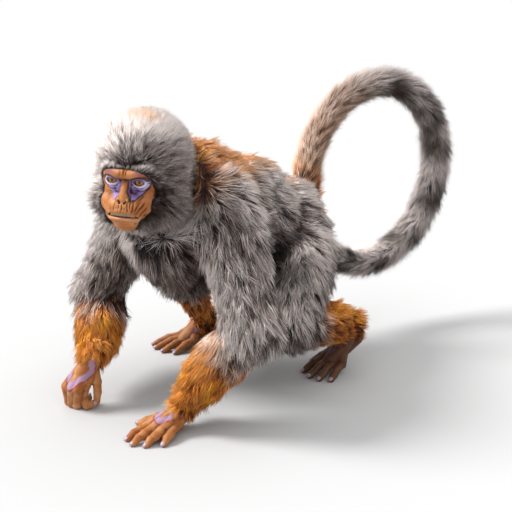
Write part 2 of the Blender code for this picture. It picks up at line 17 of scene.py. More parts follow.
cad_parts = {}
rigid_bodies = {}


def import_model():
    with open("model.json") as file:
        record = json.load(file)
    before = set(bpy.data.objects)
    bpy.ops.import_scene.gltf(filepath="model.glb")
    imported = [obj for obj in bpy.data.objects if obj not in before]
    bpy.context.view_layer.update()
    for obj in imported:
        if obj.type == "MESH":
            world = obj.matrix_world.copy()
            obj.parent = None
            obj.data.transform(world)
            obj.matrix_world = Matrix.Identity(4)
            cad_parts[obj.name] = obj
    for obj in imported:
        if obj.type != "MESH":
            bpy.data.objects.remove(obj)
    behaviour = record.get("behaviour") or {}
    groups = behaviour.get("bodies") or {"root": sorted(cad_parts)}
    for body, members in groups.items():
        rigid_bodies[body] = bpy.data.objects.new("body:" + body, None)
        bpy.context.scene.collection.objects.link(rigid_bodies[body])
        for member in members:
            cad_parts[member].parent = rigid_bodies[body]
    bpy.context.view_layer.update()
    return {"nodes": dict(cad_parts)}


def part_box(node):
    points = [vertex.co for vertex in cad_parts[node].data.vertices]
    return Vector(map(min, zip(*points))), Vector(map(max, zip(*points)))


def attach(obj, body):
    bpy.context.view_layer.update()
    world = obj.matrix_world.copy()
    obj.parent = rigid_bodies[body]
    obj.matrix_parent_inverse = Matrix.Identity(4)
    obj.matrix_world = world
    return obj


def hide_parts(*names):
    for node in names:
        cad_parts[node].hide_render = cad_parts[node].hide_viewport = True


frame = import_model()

NODES = frame["nodes"]

# %% [markdown]
# The camera stands in front of the monkey's left shoulder and a little above it. A long lens keeps the head
# and the tail in proportion. A camera is described here as a studio hand would: what it aims at, how far
# round and how high it stands, and how far away.

# %% Camera
AIM = Vector((0.05984, -0.11903, 0.20721))
CAMERA_AZIMUTH = math.radians(37.26)
CAMERA_ELEVATION = math.radians(16.10)
CAMERA_DISTANCE = 1.3878
FIELD_OF_VIEW = math.radians(30)


def direction(azimuth, elevation):
    """From the model towards a place that is so far round (0 is straight ahead of it) and so high."""
    flat = math.cos(elevation)
    return Vector((math.sin(azimuth) * flat, -math.cos(azimuth) * flat, math.sin(elevation)))


def aim(obj, place, target):
    obj.location = place
    obj.rotation_euler = (target - place).to_track_quat("-Z", "Y").to_euler()


camera = bpy.data.objects.new("camera", bpy.data.cameras.new("camera"))
camera.data.angle = FIELD_OF_VIEW
camera.data.clip_start = 0.01
aim(camera, AIM + direction(CAMERA_AZIMUTH, CAMERA_ELEVATION) * CAMERA_DISTANCE, AIM)
bpy.context.scene.collection.objects.link(camera)
bpy.context.scene.camera = camera
print("camera lens, mm:", round(camera.data.lens, 1))

# %% [markdown]
# Clay is the modelling material of the skin: balls and tapered limbs are pressed together, fused by a voxel
# remesh and smoothed. It suits a body better than pushing a cage of faces about, because the muscles and
# folds can be added one by one, and the result is always one closed surface.

# %% Clay
MM = 0.001


def mm(*values):
    return Vector(values) * MM


def on_side(point, side):
    """A point of the left half as it is for side 1, or mirrored for side -1."""
    return Vector((side * point[0], point[1], point[2]))


def between(a, b, share):
    return a + (b - a) * share


def mesh_from(bm, name):
    mesh = bpy.data.meshes.new(name)
    bm.to_mesh(mesh)
    bm.free()
    return mesh


def placed(name, mesh):
    """A new object of this mesh, in the scene."""
    thing = bpy.data.objects.new(name, mesh)
    bpy.context.scene.collection.objects.link(thing)
    return thing


def finished(mesh, steps):
    """The mesh after a list of modifiers: (type, {setting: value})."""
    work = placed("work", mesh)
    for kind, settings in steps:
        modifier = work.modifiers.new(kind, kind)
        for key, value in settings.items():
            setattr(modifier, key, value)
    bpy.context.view_layer.update()
    graph = bpy.context.evaluated_depsgraph_get()
    result = bpy.data.meshes.new_from_object(work.evaluated_get(graph))
    bpy.data.objects.remove(work)
    return result


def fuse(voxel):
    return ("REMESH", {"mode": "VOXEL", "voxel_size": voxel})


def smooth(times):
    return ("SMOOTH", {"factor": 0.5, "iterations": times})


def thinned(mesh, triangles):
    """The mesh with about so many triangles."""
    count = sum(len(face.vertices) - 2 for face in mesh.polygons)
    return finished(mesh, [("DECIMATE", {"ratio": min(1.0, triangles / count)})])


def cut(mesh, other, operation):
    """A Boolean between two closed meshes."""
    tool = placed("tool", other)
    result = finished(mesh, [("BOOLEAN", {"operation": operation, "object": tool, "solver": "MANIFOLD"})])
    bpy.data.objects.remove(tool)
    return result


class Clay:
    """Closed shapes that overlap, to be fused into one body."""

    def __init__(self, place):
        self.bm = bmesh.new()
        self.place = place

    def ball(self, centre, radii):
        if isinstance(radii, float):
            radii = (radii, radii, radii)
        matrix = self.place @ Matrix.Translation(centre) @ Matrix.Diagonal((*radii, 1.0))
        bmesh.ops.create_icosphere(self.bm, subdivisions=4, radius=1.0, matrix=matrix)
        return self

    def pair(self, centre, radii):
        """The same ball on both sides of the middle plane."""
        return self.ball(centre, radii).ball(on_side(centre, -1), radii)

    def limb(self, points, radii):
        """A chain of tapered round lengths with a ball at each joint."""
        for point, radius in zip(points, radii):
            self.ball(point, radius)
        for a, b, radius_a, radius_b in zip(points, points[1:], radii, radii[1:]):
            along = b - a
            turn = along.to_track_quat("Z", "Y").to_matrix().to_4x4()
            matrix = self.place @ Matrix.Translation((a + b) / 2) @ turn
            bmesh.ops.create_cone(
                self.bm, cap_ends=True, segments=32, radius1=radius_a, radius2=radius_b, depth=along.length,
                matrix=matrix,
            )
        return self

    def add(self, rows):
        """Balls from rows of millimetres: 1, or 2 for a pair, then the centre and the three radii."""
        for how_many, centre, radii in rows:
            shape = self.pair if how_many == 2 else self.ball
            shape(mm(*centre), tuple(mm(*radii)))

    def mesh(self, name):
        return mesh_from(self.bm, name)

# %% [markdown]
# The head has its own upright frame, which is turned a little to the monkey's left, because that is how the
# face is easiest to describe: x runs across it, -y towards its front and z up. The two eyes of the CAD model
# say where it is. The hands and feet are described from a point on the floor under the shoulders.

# %% The head's frame and the body's tables
HEAD_TURN = math.radians(21)
HEAD_NOD = math.radians(2)
HEAD_TILT = math.radians(3)
EYE_PLACE = mm(18.5, -41.5, -4.0)
EYE_RADIUS = 0.0100
HEAD_FROM_TABLES = Vector((0.0015, -0.0555, 0.3565))


def middle(node):
    low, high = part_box(node)
    return (low + high) / 2


EYES = {"left": middle("eye_left"), "right": middle("eye_right")}
HEAD_ROTATION = Matrix.Rotation(HEAD_TURN, 4, "Z") @ Matrix.Rotation(HEAD_NOD, 4, "X")
HEAD_ROTATION = HEAD_ROTATION @ Matrix.Rotation(HEAD_TILT, 4, "Y")
between_eyes = (EYES["left"] + EYES["right"]) / 2
head_centre = between_eyes - HEAD_ROTATION @ Vector((0, EYE_PLACE.y, EYE_PLACE.z))
HEAD = Matrix.Translation(head_centre) @ HEAD_ROTATION
PLACE = Matrix.Translation(head_centre - HEAD_FROM_TABLES)
print("head centre:", [round(v, 4) for v in head_centre])

JOINT_PLACES = {  # shoulder, elbow and wrist, or hip, knee and ankle
    "arm_left": ((0.072, 0.032, 0.284), (0.146, -0.006, 0.155), (0.061, -0.052, 0.035)),
    "arm_right": ((-0.076, 0.010, 0.266), (-0.155, 0.008, 0.150), (-0.092, -0.072, 0.073)),
    "leg_left": ((0.052, 0.238, 0.196), (0.112, 0.126, 0.114), (0.130, 0.272, 0.068)),
    "leg_right": ((-0.052, 0.238, 0.196), (-0.089, 0.115, 0.158), (-0.122, 0.212, 0.044)),
}
JOINTS = {limb: tuple(map(Vector, line)) for limb, line in JOINT_PLACES.items()}

# %% [markdown]
# The body's skin lies under the coat, so it is the CAD flesh drawn in by the coat's depth. The flesh nodes
# are copied, swollen by a hair's breadth until neighbours overlap, fused and smoothed. The fused shape is
# kept too: it is the surface that the tips of the coat reach.

# %% The outer form of the flesh
SIDES = ("left", "right")
LIMB_PARTS = ("upper_arm", "forearm", "thigh", "shin")
LIMB_NODES = [f"{part}_{side}" for part in LIMB_PARTS for side in SIDES]
TAIL_NODES = [f"tail_{i}" for i in range(1, 6)]
BODY_NODES = ["neck", "chest", "belly", "hips"] + LIMB_NODES + TAIL_NODES
HEAD_NODES = ["head", "face", "jaw"]
BARE_NODES = ["hand_left", "hand_right", "foot_left", "foot_right", "ear_left", "ear_right"]
SWELL = 0.0008
WELD = 0.00001  # points nearer than this are one
FORM_VOXEL = 0.004


def copies(names):
    """Welded, swollen copies of CAD nodes in one bmesh."""
    bm = bmesh.new()
    for name in names:
        bm.from_mesh(NODES[name].data)
    bmesh.ops.remove_doubles(bm, verts=bm.verts[:], dist=WELD)
    bm.normal_update()
    for vert in bm.verts:
        vert.co += vert.normal * SWELL
    return mesh_from(bm, "flesh")


hull = finished(copies(BODY_NODES + HEAD_NODES), [fuse(FORM_VOXEL), smooth(3)])
body_form = finished(copies(BODY_NODES), [fuse(FORM_VOXEL), smooth(10)])
print("outer form:", len(hull.vertices), "points; body:", len(body_form.vertices))

# %% Arrays from a mesh
def numbers_of(items, key, width, kind):
    """One property of a mesh's points, edges or triangles, as rows of so many numbers."""
    flat = np.empty(len(items) * width, kind)
    items.foreach_get(key, flat)
    return flat.reshape(-1, width)


def points_of(mesh):
    return numbers_of(mesh.vertices, "co", 3, np.float32).astype(float)


def normals_of(mesh):
    return numbers_of(mesh.vertices, "normal", 3, np.float32).astype(float)


def edges_of(mesh):
    return numbers_of(mesh.edges, "vertices", 2, np.int32)


def triangles_of(mesh):
    mesh.calc_loop_triangles()
    return numbers_of(mesh.loop_triangles, "vertices", 3, np.int32)


def set_points(mesh, points):
    mesh.vertices.foreach_set("co", points.astype(np.float32).ravel())
    mesh.update()


def spread(values, edges, times):
    """Values at the points of a mesh, averaged with their neighbours so many times."""
    count = len(values)
    start = np.concatenate([edges[:, 0], edges[:, 1]])
    end = np.concatenate([edges[:, 1], edges[:, 0]])
    degree = np.maximum(np.bincount(start, minlength=count), 1)
    out = values.reshape(count, -1).astype(float)
    for _ in range(times):
        sums = np.stack([np.bincount(start, out[end, k], count) for k in range(out.shape[1])], axis=1)
        out = 0.5 * out + 0.5 * sums / degree[:, None]
    return out.reshape(values.shape)


def moved(points, matrix):
    return points @ matrix[:3, :3].T + matrix[:3, 3]


def ramp(values, low, high):
    """0 below low, 1 above high and an S-curve between."""
    t = np.clip((values - low) / (high - low), 0.0, 1.0)
    return t * t * (3 - 2 * t)


def unit(vectors):
    return vectors / np.maximum(np.linalg.norm(vectors, axis=-1, keepdims=True), 1e-9)


def scattered(points, triangles, count, dice):
    """Random places on a surface, evenly by area: the triangle of each, and its three weights in it."""
    a, b, c = (points[triangles[:, k]] for k in range(3))
    area = np.linalg.norm(np.cross(b - a, c - a), axis=1)
    chosen = np.searchsorted(np.cumsum(area) / area.sum(), dice.random(count))
    u = np.sqrt(dice.random(count))
    v = dice.random(count)
    return chosen, np.stack([1 - u, u * (1 - v), u * v], axis=1)


def blend_at(values, triangles, chosen, weights):
    """Values at points of a mesh, carried to places on its triangles."""
    corners = values[triangles[chosen]]
    shape = weights.shape + (1,) * (values.ndim - 1)
    return (corners * weights.reshape(shape)).sum(axis=1)


LABELS = BODY_NODES + HEAD_NODES + BARE_NODES
LABEL_POINTS = 700  # over each part
label_dice = np.random.default_rng(3)
label_tree = KDTree(LABEL_POINTS * len(LABELS))
for number, name in enumerate(LABELS):
    part_points = points_of(NODES[name].data)
    part_triangles = triangles_of(NODES[name].data)
    chosen, weights = scattered(part_points, part_triangles, LABEL_POINTS, label_dice)
    for point in blend_at(part_points, part_triangles, chosen, weights):
        label_tree.insert(point, number)
label_tree.balance()


def labels_at(points):
    """The number in LABELS of the CAD part nearest to each point."""
    return np.array([label_tree.find(p)[1] for p in points])

# %% [markdown]
# Under the fur the trunk and limbs are plain, so their skin is the fused form, drawn in. How far depends on
# the part: the coat is deep on the trunk and short on the tail. The depth is blended over the joints, so
# that no step shows.

# %% The skin under the coat
COAT_DEPTH = {
    "neck": 0.013, "chest": 0.013, "belly": 0.013, "hips": 0.013, "upper_arm": 0.012, "forearm": 0.011,
    "thigh": 0.012, "shin": 0.009, "tail": 0.0095, "head": 0.010, "face": 0.0, "jaw": 0.0, "hand": 0.0,
    "foot": 0.0, "ear": 0.0,
}


def kind_of(label):
    """The kind of part: the name without its side or number."""
    return label.rsplit("_", 1)[0] if label[-1].isdigit() or label.endswith(("left", "right")) else label


depths_by_label = np.array([COAT_DEPTH[kind_of(name)] for name in LABELS])
form_points = points_of(body_form)
form_edges = edges_of(body_form)
form_depth = spread(depths_by_label[labels_at(form_points)], form_edges, 12)
form_normals = unit(spread(normals_of(body_form), form_edges, 6))
set_points(body_form, form_points - form_normals * form_depth[:, None])
print("drawn in by, mm:", round(form_depth.min() / MM, 1), "to", round(form_depth.max() / MM, 1))

# %% [markdown]
# The skull is a few large balls: the cranium, the cheeks and the throat. Only its outline matters, because
# the coat covers it, so it is joined with the trunk before both are fused.

# %% Skull
SKULL_BALLS = [
    (1, (0, 10, 20), (57, 59, 53)),  # the cranium
    (1, (0, 14, -2), (60, 55, 46)),
    (1, (0, -8, 4), (44, 32, 22)),
    (2, (30, -1, -33), (27, 32, 33)),  # the cheeks
    (1, (0, -6, -56), (28, 28, 22)),  # the throat
]
NAPE_LINE = [mm(0, 10, -30), mm(0, 40, -50)]
NAPE_RADIUS = 0.040
UNDER_COAT_VOXEL = 0.0032
UNDER_COAT_TRIANGLES = 44000
skull = Clay(HEAD)
skull.add(SKULL_BALLS)
skull.limb(NAPE_LINE, (NAPE_RADIUS, NAPE_RADIUS))
under = bmesh.new()
under.from_mesh(body_form)
under.from_mesh(skull.mesh("skull"))
under_coat = finished(mesh_from(under, "under_coat"), [fuse(UNDER_COAT_VOXEL), smooth(6)])
under_coat = thinned(under_coat, UNDER_COAT_TRIANGLES)
print("skin under the coat:", len(under_coat.polygons), "faces")

# %% [markdown]
# The bare face is the part that everyone looks at, so it is shaped the way a sculptor would. The big masses
# (muzzle, brow, cheekbones, chin) are fused and smoothed until they flow into each other. Then the small
# forms are laid on: lids, lips, the tip and wings of the nose. The openings are cut last.

# %% Face: the big masses
NOSE_SHIFT = 2.0  # the nose stands a little to the monkey's left of the mouth
FACE_PLATE = [(1, (0, -23, -22), (42.5, 18, 52))]
BROW = [
    (-31, -39, 2), (-21, -50, 8), (-8, -54.5, 5.5), (2, -53, 6), (12, -54.5, 5.5), (24, -49.5, 8),
    (33, -39, 2),
]
BROW_RADII = (0.0064, 0.0076, 0.0072, 0.0064, 0.0072, 0.0076, 0.0064)
NOSE_BRIDGE = [(NOSE_SHIFT, -50.5, 4), (NOSE_SHIFT, -54, -9), (NOSE_SHIFT, -60.5, -21)]
BRIDGE_RADII = (0.0060, 0.0062, 0.0070)
FACE_BALLS = [
    (1, (NOSE_SHIFT, -54, -26), (15, 12, 9)),  # the end of the nose
    (2, (21, -38.5, -19), (12.5, 12.0, 10.0)),  # the cheekbones
    (2, (31, -34, -5), (6, 11, 12)),  # beside the eyes
    (2, (24, -40, -34), (13, 17, 15)),  # the cheeks
    (1, (0, -44, -37), (31, 27, 19.5)),  # the muzzle
    (2, (18, -47, -49), (10, 12, 10)),  # the corners of the jaw
    (1, (0, -52, -51), (21, 15, 8)),  # the lower lip
    (1, (0, -48.5, -58), (18, 14.5, 11)),  # the chin
]
MASSES_VOXEL = 0.0011


def places(rows):
    """Points from rows of millimetres."""
    return [mm(*row) for row in rows]


def face_masses():
    clay = Clay(HEAD)
    clay.add(FACE_PLATE)
    clay.limb(places(BROW), BROW_RADII)
    clay.limb(places(NOSE_BRIDGE), BRIDGE_RADII)
    clay.add(FACE_BALLS)
    return finished(clay.mesh("masses"), [fuse(MASSES_VOXEL), smooth(16)])


masses = face_masses()
print("masses of the face:", len(masses.polygons), "faces")

# %% Face: small forms and openings
EYELID_RADIUS = 0.0116  # the rounded lids over the eye
EYE_SLIT = (5.8, 9.0, 3.2)
SLIT_FROM_EYE = mm(0, -12.5, -0.3)
LIDS = (  # the upper and the lower, from the middle of the eye
    places([(-9.5, -8.2, -0.5), (-5.5, -11.4, 3.2), (0, -12.3, 4.4), (5.5, -11.0, 3.4), (9.5, -8.0, 0)]),
    places([(-9.5, -8.2, -1.0), (-5.0, -11.2, -3.9), (0, -12.0, -5.0), (5.0, -11.0, -4.2), (9.5, -8.0, -1)]),
)
LID_RADII = (0.0010, 0.0014, 0.0015, 0.0014, 0.0010)
NOSE_BALLS = [
    (1, (NOSE_SHIFT, -64.0, -23.5), (4.6, 4.2, 4.2)),  # its tip
    (2, (9.5, -45, -13), (6, 6.5, 9)),  # beside it, below the inner corners of the eyes
]
NOSE_WING = (6.0, -62.5, -25.5)  # its sides, from the middle of the nose
WING_RADII = tuple(mm(3.8, 4.8, 4.0))
NOSTRIL = ((5.2, -66.5, -25.6), (3.2, -67.0, -28.4))
NOSTRIL_RADII = (0.0013, 0.0018)
MOUTH_LINE = places(
    [(-21, -57.5, -48), (-12.5, -67.5, -44.3), (0, -72, -43), (12.5, -67.5, -44.3), (21, -57.5, -48)])
MOUTH_OPENING = (0.0008, 0.0029, 0.0034, 0.0029, 0.0008)
MOUTH_DEPTHS = (0.0, 3.0, 6.0)
LIPS = (  # the upper and the lower: how far from the mouth line, and the radii
    (mm(0, 2.6, 4.4), (0.0030, 0.0044, 0.0048, 0.0044, 0.0030)),
    (mm(0, 3.0, -4.2), (0.0018, 0.0034, 0.0038, 0.0034, 0.0018)),
)
SOCKET_ROOM = 0.00015
FORMS_VOXEL = 0.0007
OPENINGS_VOXEL = 0.0005
FACE_VOXEL = 0.00062


def small_forms():
    clay = Clay(HEAD)
    clay.bm.from_mesh(masses)
    across, back, up = NOSE_WING
    for side in (-1, 1):
        eye = on_side(EYE_PLACE, side)
        clay.ball(eye, EYELID_RADIUS)
        for lid in LIDS:
            clay.limb([eye + on_side(p, side) for p in lid], LID_RADII)
        clay.ball(mm(NOSE_SHIFT + side * across, back, up), WING_RADII)
    clay.add(NOSE_BALLS)
    for from_mouth, radii in LIPS:
        clay.limb([p + from_mouth for p in MOUTH_LINE], radii)
    return finished(clay.mesh("face"), [fuse(FORMS_VOXEL), smooth(6)])


def face_openings():
    """Sockets, eye slits, nostrils and the mouth, as one closed tool."""
    clay = Clay(HEAD)
    for side in (-1, 1):
        eye = on_side(EYE_PLACE, side)
        clay.ball(eye, EYE_RADIUS + SOCKET_ROOM)
        clay.ball(eye + SLIT_FROM_EYE, tuple(mm(*EYE_SLIT)))
        clay.limb([mm(NOSE_SHIFT + side * x, y, z) for x, y, z in NOSTRIL], NOSTRIL_RADII)
    for depth in MOUTH_DEPTHS:
        clay.limb([p + mm(0, depth, 0) for p in MOUTH_LINE], MOUTH_OPENING)
    return finished(clay.mesh("openings"), [fuse(OPENINGS_VOXEL)])


face = cut(small_forms(), face_openings(), "DIFFERENCE")
face = finished(face, [fuse(FACE_VOXEL), smooth(2)])
print("face:", len(face.polygons), "faces")

# %% [markdown]
# Creases are pressed in with a stylus. A crease is a short line across the front of the face. The skin sinks
# along it and swells a little beside it, and the line fades out at both ends.

# %% Face: creases
CREASES = [  # (depth and width in mm, the line's points across and up the face)
    (0.9, 0.9, ((2.4, -29), (3.2, -33), (3.6, -38.5))),
    (0.6, 0.8, ((-1.0, -30), (-1.2, -35), (-0.6, -39))),
    (1.0, 1.0, ((8.4, -27), (9.6, -32), (10.6, -40))),
    (0.8, 0.9, ((12.2, -24), (12.6, -29), (12.8, -35))),
    (1.2, 1.2, ((15.8, -25), (16.3, -33), (15.2, -41.5))),
    (1.4, 1.2, ((23.0, -26), (20.6, -33), (17.8, -42))),
    (1.4, 1.3, ((28.0, -28), (25.4, -33), (20.9, -40), (18.4, -43.7))),
    (1.4, 1.4, ((31.0, -34), (28.0, -38.4), (22.2, -46))),
    (0.8, 1.0, ((24.6, -20.6), (20.8, -25.7), (19.0, -31))),
    (0.5, 0.9, ((-6.0, -27), (-7.6, -32), (-8.4, -40))),
    (0.25, 1.2, ((-12.4, -27), (-13.6, -33), (-13.0, -41))),
    (0.3, 1.3, ((-19.6, -28), (-18.6, -34), (-15.6, -42))),
    (0.4, 1.3, ((-27.0, -30), (-24.0, -36), (-19.4, -44))),
    (1.0, 1.2, ((-29.5, -36), (-26.0, -43), (-22.5, -48))),
    (0.9, 0.9, ((10.2, -19), (11.9, -23), (9.8, -27.4))),
    (0.9, 0.9, ((-6.0, -19), (-7.9, -23), (-5.6, -27.4))),
    (0.9, 1.0, ((0.4, 15), (0.8, 10), (0.4, 4.5))),
    (0.7, 0.9, ((4.2, 15), (3.8, 10), (4.0, 4.5))),
    (0.6, 1.0, ((-4.0, 12), (-3.2, 8), (-3.6, 4))),
    (0.5, 0.9, ((-5.0, -1), (2.0, 0.2), (9.0, -1))),
    (0.5, 0.9, ((-14, -60), (0, -62.5), (14, -60))),
]
LID_CREASES = [  # for each eye, from its middle; x is away from the nose
    (0.9, 0.9, ((-9.5, -3.4), (-5.0, -7.2), (1.0, -8.0), (7.0, -5.8), (11.0, -1.4))),
    (0.6, 0.9, ((-8.0, -8.6), (-2.0, -11.6), (6.0, -10.4), (11.5, -6.0))),
    (1.0, 0.9, ((-9.5, 2.6), (-4.0, 6.6), (2.0, 7.8), (8.0, 6.4), (12.0, 1.6))),
    (0.6, 0.8, ((10.0, -1.0), (13.5, 0.4), (16.0, 2.0))),
]
CREASE_DEPTH = 1.15  # times the depths above
SWELLING = 0.35  # how far the skin swells beside a crease, as a share of its depth
SWELLING_AWAY = 1.9  # how far from the crease, in its widths
IN_FRONT = -120  # where the stylus starts, in mm
LINE_STEPS = 5


def finer(line):
    """More points along a line, on a smooth curve through its own points."""
    line = np.array(line, float)
    ends = np.vstack([2 * line[0] - line[1], line, 2 * line[-1] - line[-2]])
    out = []
    for p0, p1, p2, p3 in zip(ends, ends[1:], ends[2:], ends[3:]):
        for t in np.arange(LINE_STEPS) / LINE_STEPS:
            out.append(0.5 * (2 * p1 + (p2 - p0) * t + (2 * p0 - 5 * p1 + 4 * p2 - p3) * t ** 2
                              + (3 * p1 - p0 - 3 * p2 + p3) * t ** 3))
    return np.array(out + [line[-1]])


def nearest_on_line(points, line):
    """Each point's distance from a line, and how far along it the nearest place is, from 0 to 1."""
    best = np.full(len(points), 1e9)
    share = np.zeros(len(points))
    for number, (a, b) in enumerate(zip(line, line[1:])):
        way = b - a
        t = np.clip((points - a) @ way / max(way @ way, 1e-12), 0, 1)
        away = np.linalg.norm(points - (a + t[:, None] * way), axis=1)
        closer = away < best
        best[closer] = away[closer]
        share[closer] = ((number + t) / (len(line) - 1))[closer]
    return best, share


def surface_tree(points, mesh):
    """A tree for casting rays at a mesh whose points may have been moved."""
    return BVHTree.FromPolygons([tuple(p) for p in points], [tuple(f.vertices) for f in mesh.polygons])


def bell(values, middle, width):
    """1 at the middle, falling away smoothly on both sides."""
    return np.exp(-(((values - middle) / width) ** 2))


def press(points, line, depth_mm, width):
    """How far each point moves out of the skin along one crease: below zero in it, above zero beside it."""
    away, share = nearest_on_line(points, line)
    fade = np.sqrt(np.clip(np.sin(math.pi * np.clip(share, 0.02, 0.98)), 0, 1))
    groove = bell(away, 0.0, width) * fade
    ridge = bell(away, SWELLING_AWAY * width, width) * fade
    return CREASE_DEPTH * depth_mm * (SWELLING * ridge - groove)


def creased_face(mesh):
    points = moved(points_of(mesh), np.array(HEAD.inverted())) / MM
    normals = normals_of(mesh) @ np.array(HEAD_ROTATION.to_3x3())
    tree = surface_tree(points, mesh)
    lines = list(CREASES)
    for side in (-1, 1):
        for depth_mm, width, line in LID_CREASES:
            eye = EYE_PLACE / MM
            lines.append((depth_mm, width, [(side * (eye.x + x), eye.z + z) for x, z in line]))
    move = np.zeros(len(points))
    for depth_mm, width, line in lines:
        hits = [tree.ray_cast(Vector((x, IN_FRONT, z)), Vector((0, 1, 0)))[0] for x, z in finer(line)]
        on_skin = np.array([np.array(hit) for hit in hits if hit is not None])
        move += press(points, on_skin, depth_mm, width)
    front = ramp(-normals[:, 1], -0.2, 0.2)
    set_points(mesh, points_of(mesh) + normals_of(mesh) * (move * front * MM)[:, None])


print("creases:", len(CREASES) + 2 * len(LID_CREASES))
creased_face(face)

# %% [markdown]
# Hands and feet are bare too. Each finger is a chain of tapered lengths, a little swollen at its joints.
# The left hand is planted flat with its fingers spread, and the right is a loose fist that stands on its
# knuckles. The tables give places in millimetres.

# %% Hands and feet: the tables
FLAT_PALM = [(57.5, -63, 25.5), (45, -63, 11), (58, -63, 12)]
FLAT_FINGERS = [
    ((37.5, -87.5, 18), (33, -105.5, 13.5), (26.5, -123.3, 4.5)),
    ((49.5, -92.5, 18.5), (46.5, -112, 14), (42, -129, 4.5)),
    ((60.5, -88, 17.5), (61.5, -107, 13), (58.5, -121.5, 4.5)),
    ((67.5, -76, 15.5), (72, -90, 11.5), (74.7, -105.4, 4.5)),
]
FLAT_THUMB = [(48, -56, 18), (29, -67, 13), (16.5, -75, 9), (7, -81, 4.8)]
FIST_PALM = (-97, -85, 56)
FIST_FIRST_FINGER = [(-90.5, -89.5, 38), (-96.5, -90, 19), (-90, -88.5, 7.8), (-83, -81.5, 10)]
FIST_FINGERS = [
    ((-93.5, -101, 37), (-104, -94, 7.6), (-100, -76, 12)),
    ((-102, -103.5, 36), (-113, -95, 7.6), (-109, -79, 12)),
    ((-116, -101, 34.5), (-122.5, -92.5, 7.6), (-117, -79, 12)),
]
FIST_THUMB = [(-88, -73.5, 60), (-81.5, -75, 42), (-79.5, -76.5, 27), (-79.5, -79, 13.5)]
HEELS = {"left": (133.5, 278, 52), "right": (-104, 244, 11)}
TOES = {
    "left": [
        ((93, 244, 16.5), (81.5, 211, 4.5)),
        ((105, 239, 17), (101.3, 198.5, 4.5)),
        ((117.5, 240, 16.5), (119, 198.5, 4.5)),
        ((129, 246, 15), (135.2, 206.5, 4.5)),
    ],
    "right": [
        ((-157, 186, 16), (-183.5, 152.5, 4.5)),
        ((-146, 179, 16.5), (-169.5, 143, 4.5)),
        ((-134, 177, 16), (-150, 139, 4.5)),
        ((-122, 181, 15), (-129, 145, 4.5)),
    ],
}
BIG_TOES = {
    "left": [(118, 264, 36), (97, 268, 24), (81, 262, 13), (70, 254.5, 4.8)],
    "right": [(-112, 217, 20), (-98, 202, 13), (-88, 188, 9), (-82, 175, 4.8)],
}
print("fingers and toes:", len(FLAT_FINGERS) + len(FIST_FINGERS) + sum(len(t) for t in TOES.values()) + 5)

# %% Hands and feet: the clay
TIPS = []  # (the last length of a digit as two points, its radius, its hand or foot), for the nails
KNUCKLES = []  # (hand or foot, a joint's place, the way the digit runs there, its radius)
JOINT_SWELLING = 1.10
DIGIT_VOXEL = 0.0009


def digit(clay, points, thick, slim, owner):
    """One finger or toe, swollen at its joints."""
    count = len(points) - 1
    radii = [thick + (slim - thick) * i / count for i in range(count + 1)]
    clay.limb(points, radii)
    for point, radius in list(zip(points, radii))[1:-1]:
        clay.ball(point, radius * JOINT_SWELLING)
        way = (points[-1] - points[0]).normalized()
        KNUCKLES.append((owner, PLACE @ point, way, radius))
    TIPS.append((PLACE @ points[-2], PLACE @ points[-1], slim, owner))


def bare_skin(clay, name, triangles):
    """The clay fused, pressed flat on the floor and thinned."""
    mesh = finished(clay.mesh(name), [fuse(DIGIT_VOXEL), smooth(3)])
    points = points_of(mesh)
    points[:, 2] = np.maximum(points[:, 2], 0.0)
    set_points(mesh, points)
    return thinned(mesh, triangles)


def flat_hand():
    wrist = JOINTS["arm_left"][2]
    clay = Clay(PLACE)
    knuckles, inner_heel, outer_heel = places(FLAT_PALM)
    clay.limb([wrist + mm(4, 12, 12), wrist, knuckles], (0.0155, 0.0150, 0.0150))
    clay.limb([inner_heel, outer_heel], (0.0105, 0.0105))
    for root, bend, tip in map(places, FLAT_FINGERS):
        clay.limb([between(wrist, root, 0.25) - mm(0, 0, 6), root], (0.0120, 0.0074))
        clay.limb([between(wrist, root, 0.35) + mm(0, 0, 4), root + mm(0, 0, 2.0)], (0.0045, 0.0052))
        digit(clay, [root, bend, between(bend, tip, 0.55) + mm(0, 0, 2), tip], 0.0068, 0.0048, "hand_left")
    digit(clay, places(FLAT_THUMB), 0.0100, 0.0052, "hand_left")
    return bare_skin(clay, "hand_left", 19000)


def fist():
    wrist = JOINTS["arm_right"][2]
    clay = Clay(PLACE)
    clay.limb([wrist + mm(-8, 12, 12), wrist, mm(*FIST_PALM)], (0.0150, 0.0145, 0.0145))
    for root, bend, tip in map(places, FIST_FINGERS):
        clay.limb([between(wrist, root, 0.25), root], (0.0125, 0.0084))
        digit(clay, [root, bend, between(bend, tip, 0.6) - mm(0, 0, 2), tip], 0.0080, 0.0056, "hand_right")
    first = places(FIST_FIRST_FINGER)
    clay.limb([between(wrist, first[0], 0.25), first[0]], (0.0125, 0.0080))
    digit(clay, first, 0.0074, 0.0052, "hand_right")
    digit(clay, places(FIST_THUMB), 0.0075, 0.0050, "hand_right")
    return bare_skin(clay, "hand_right", 20000)


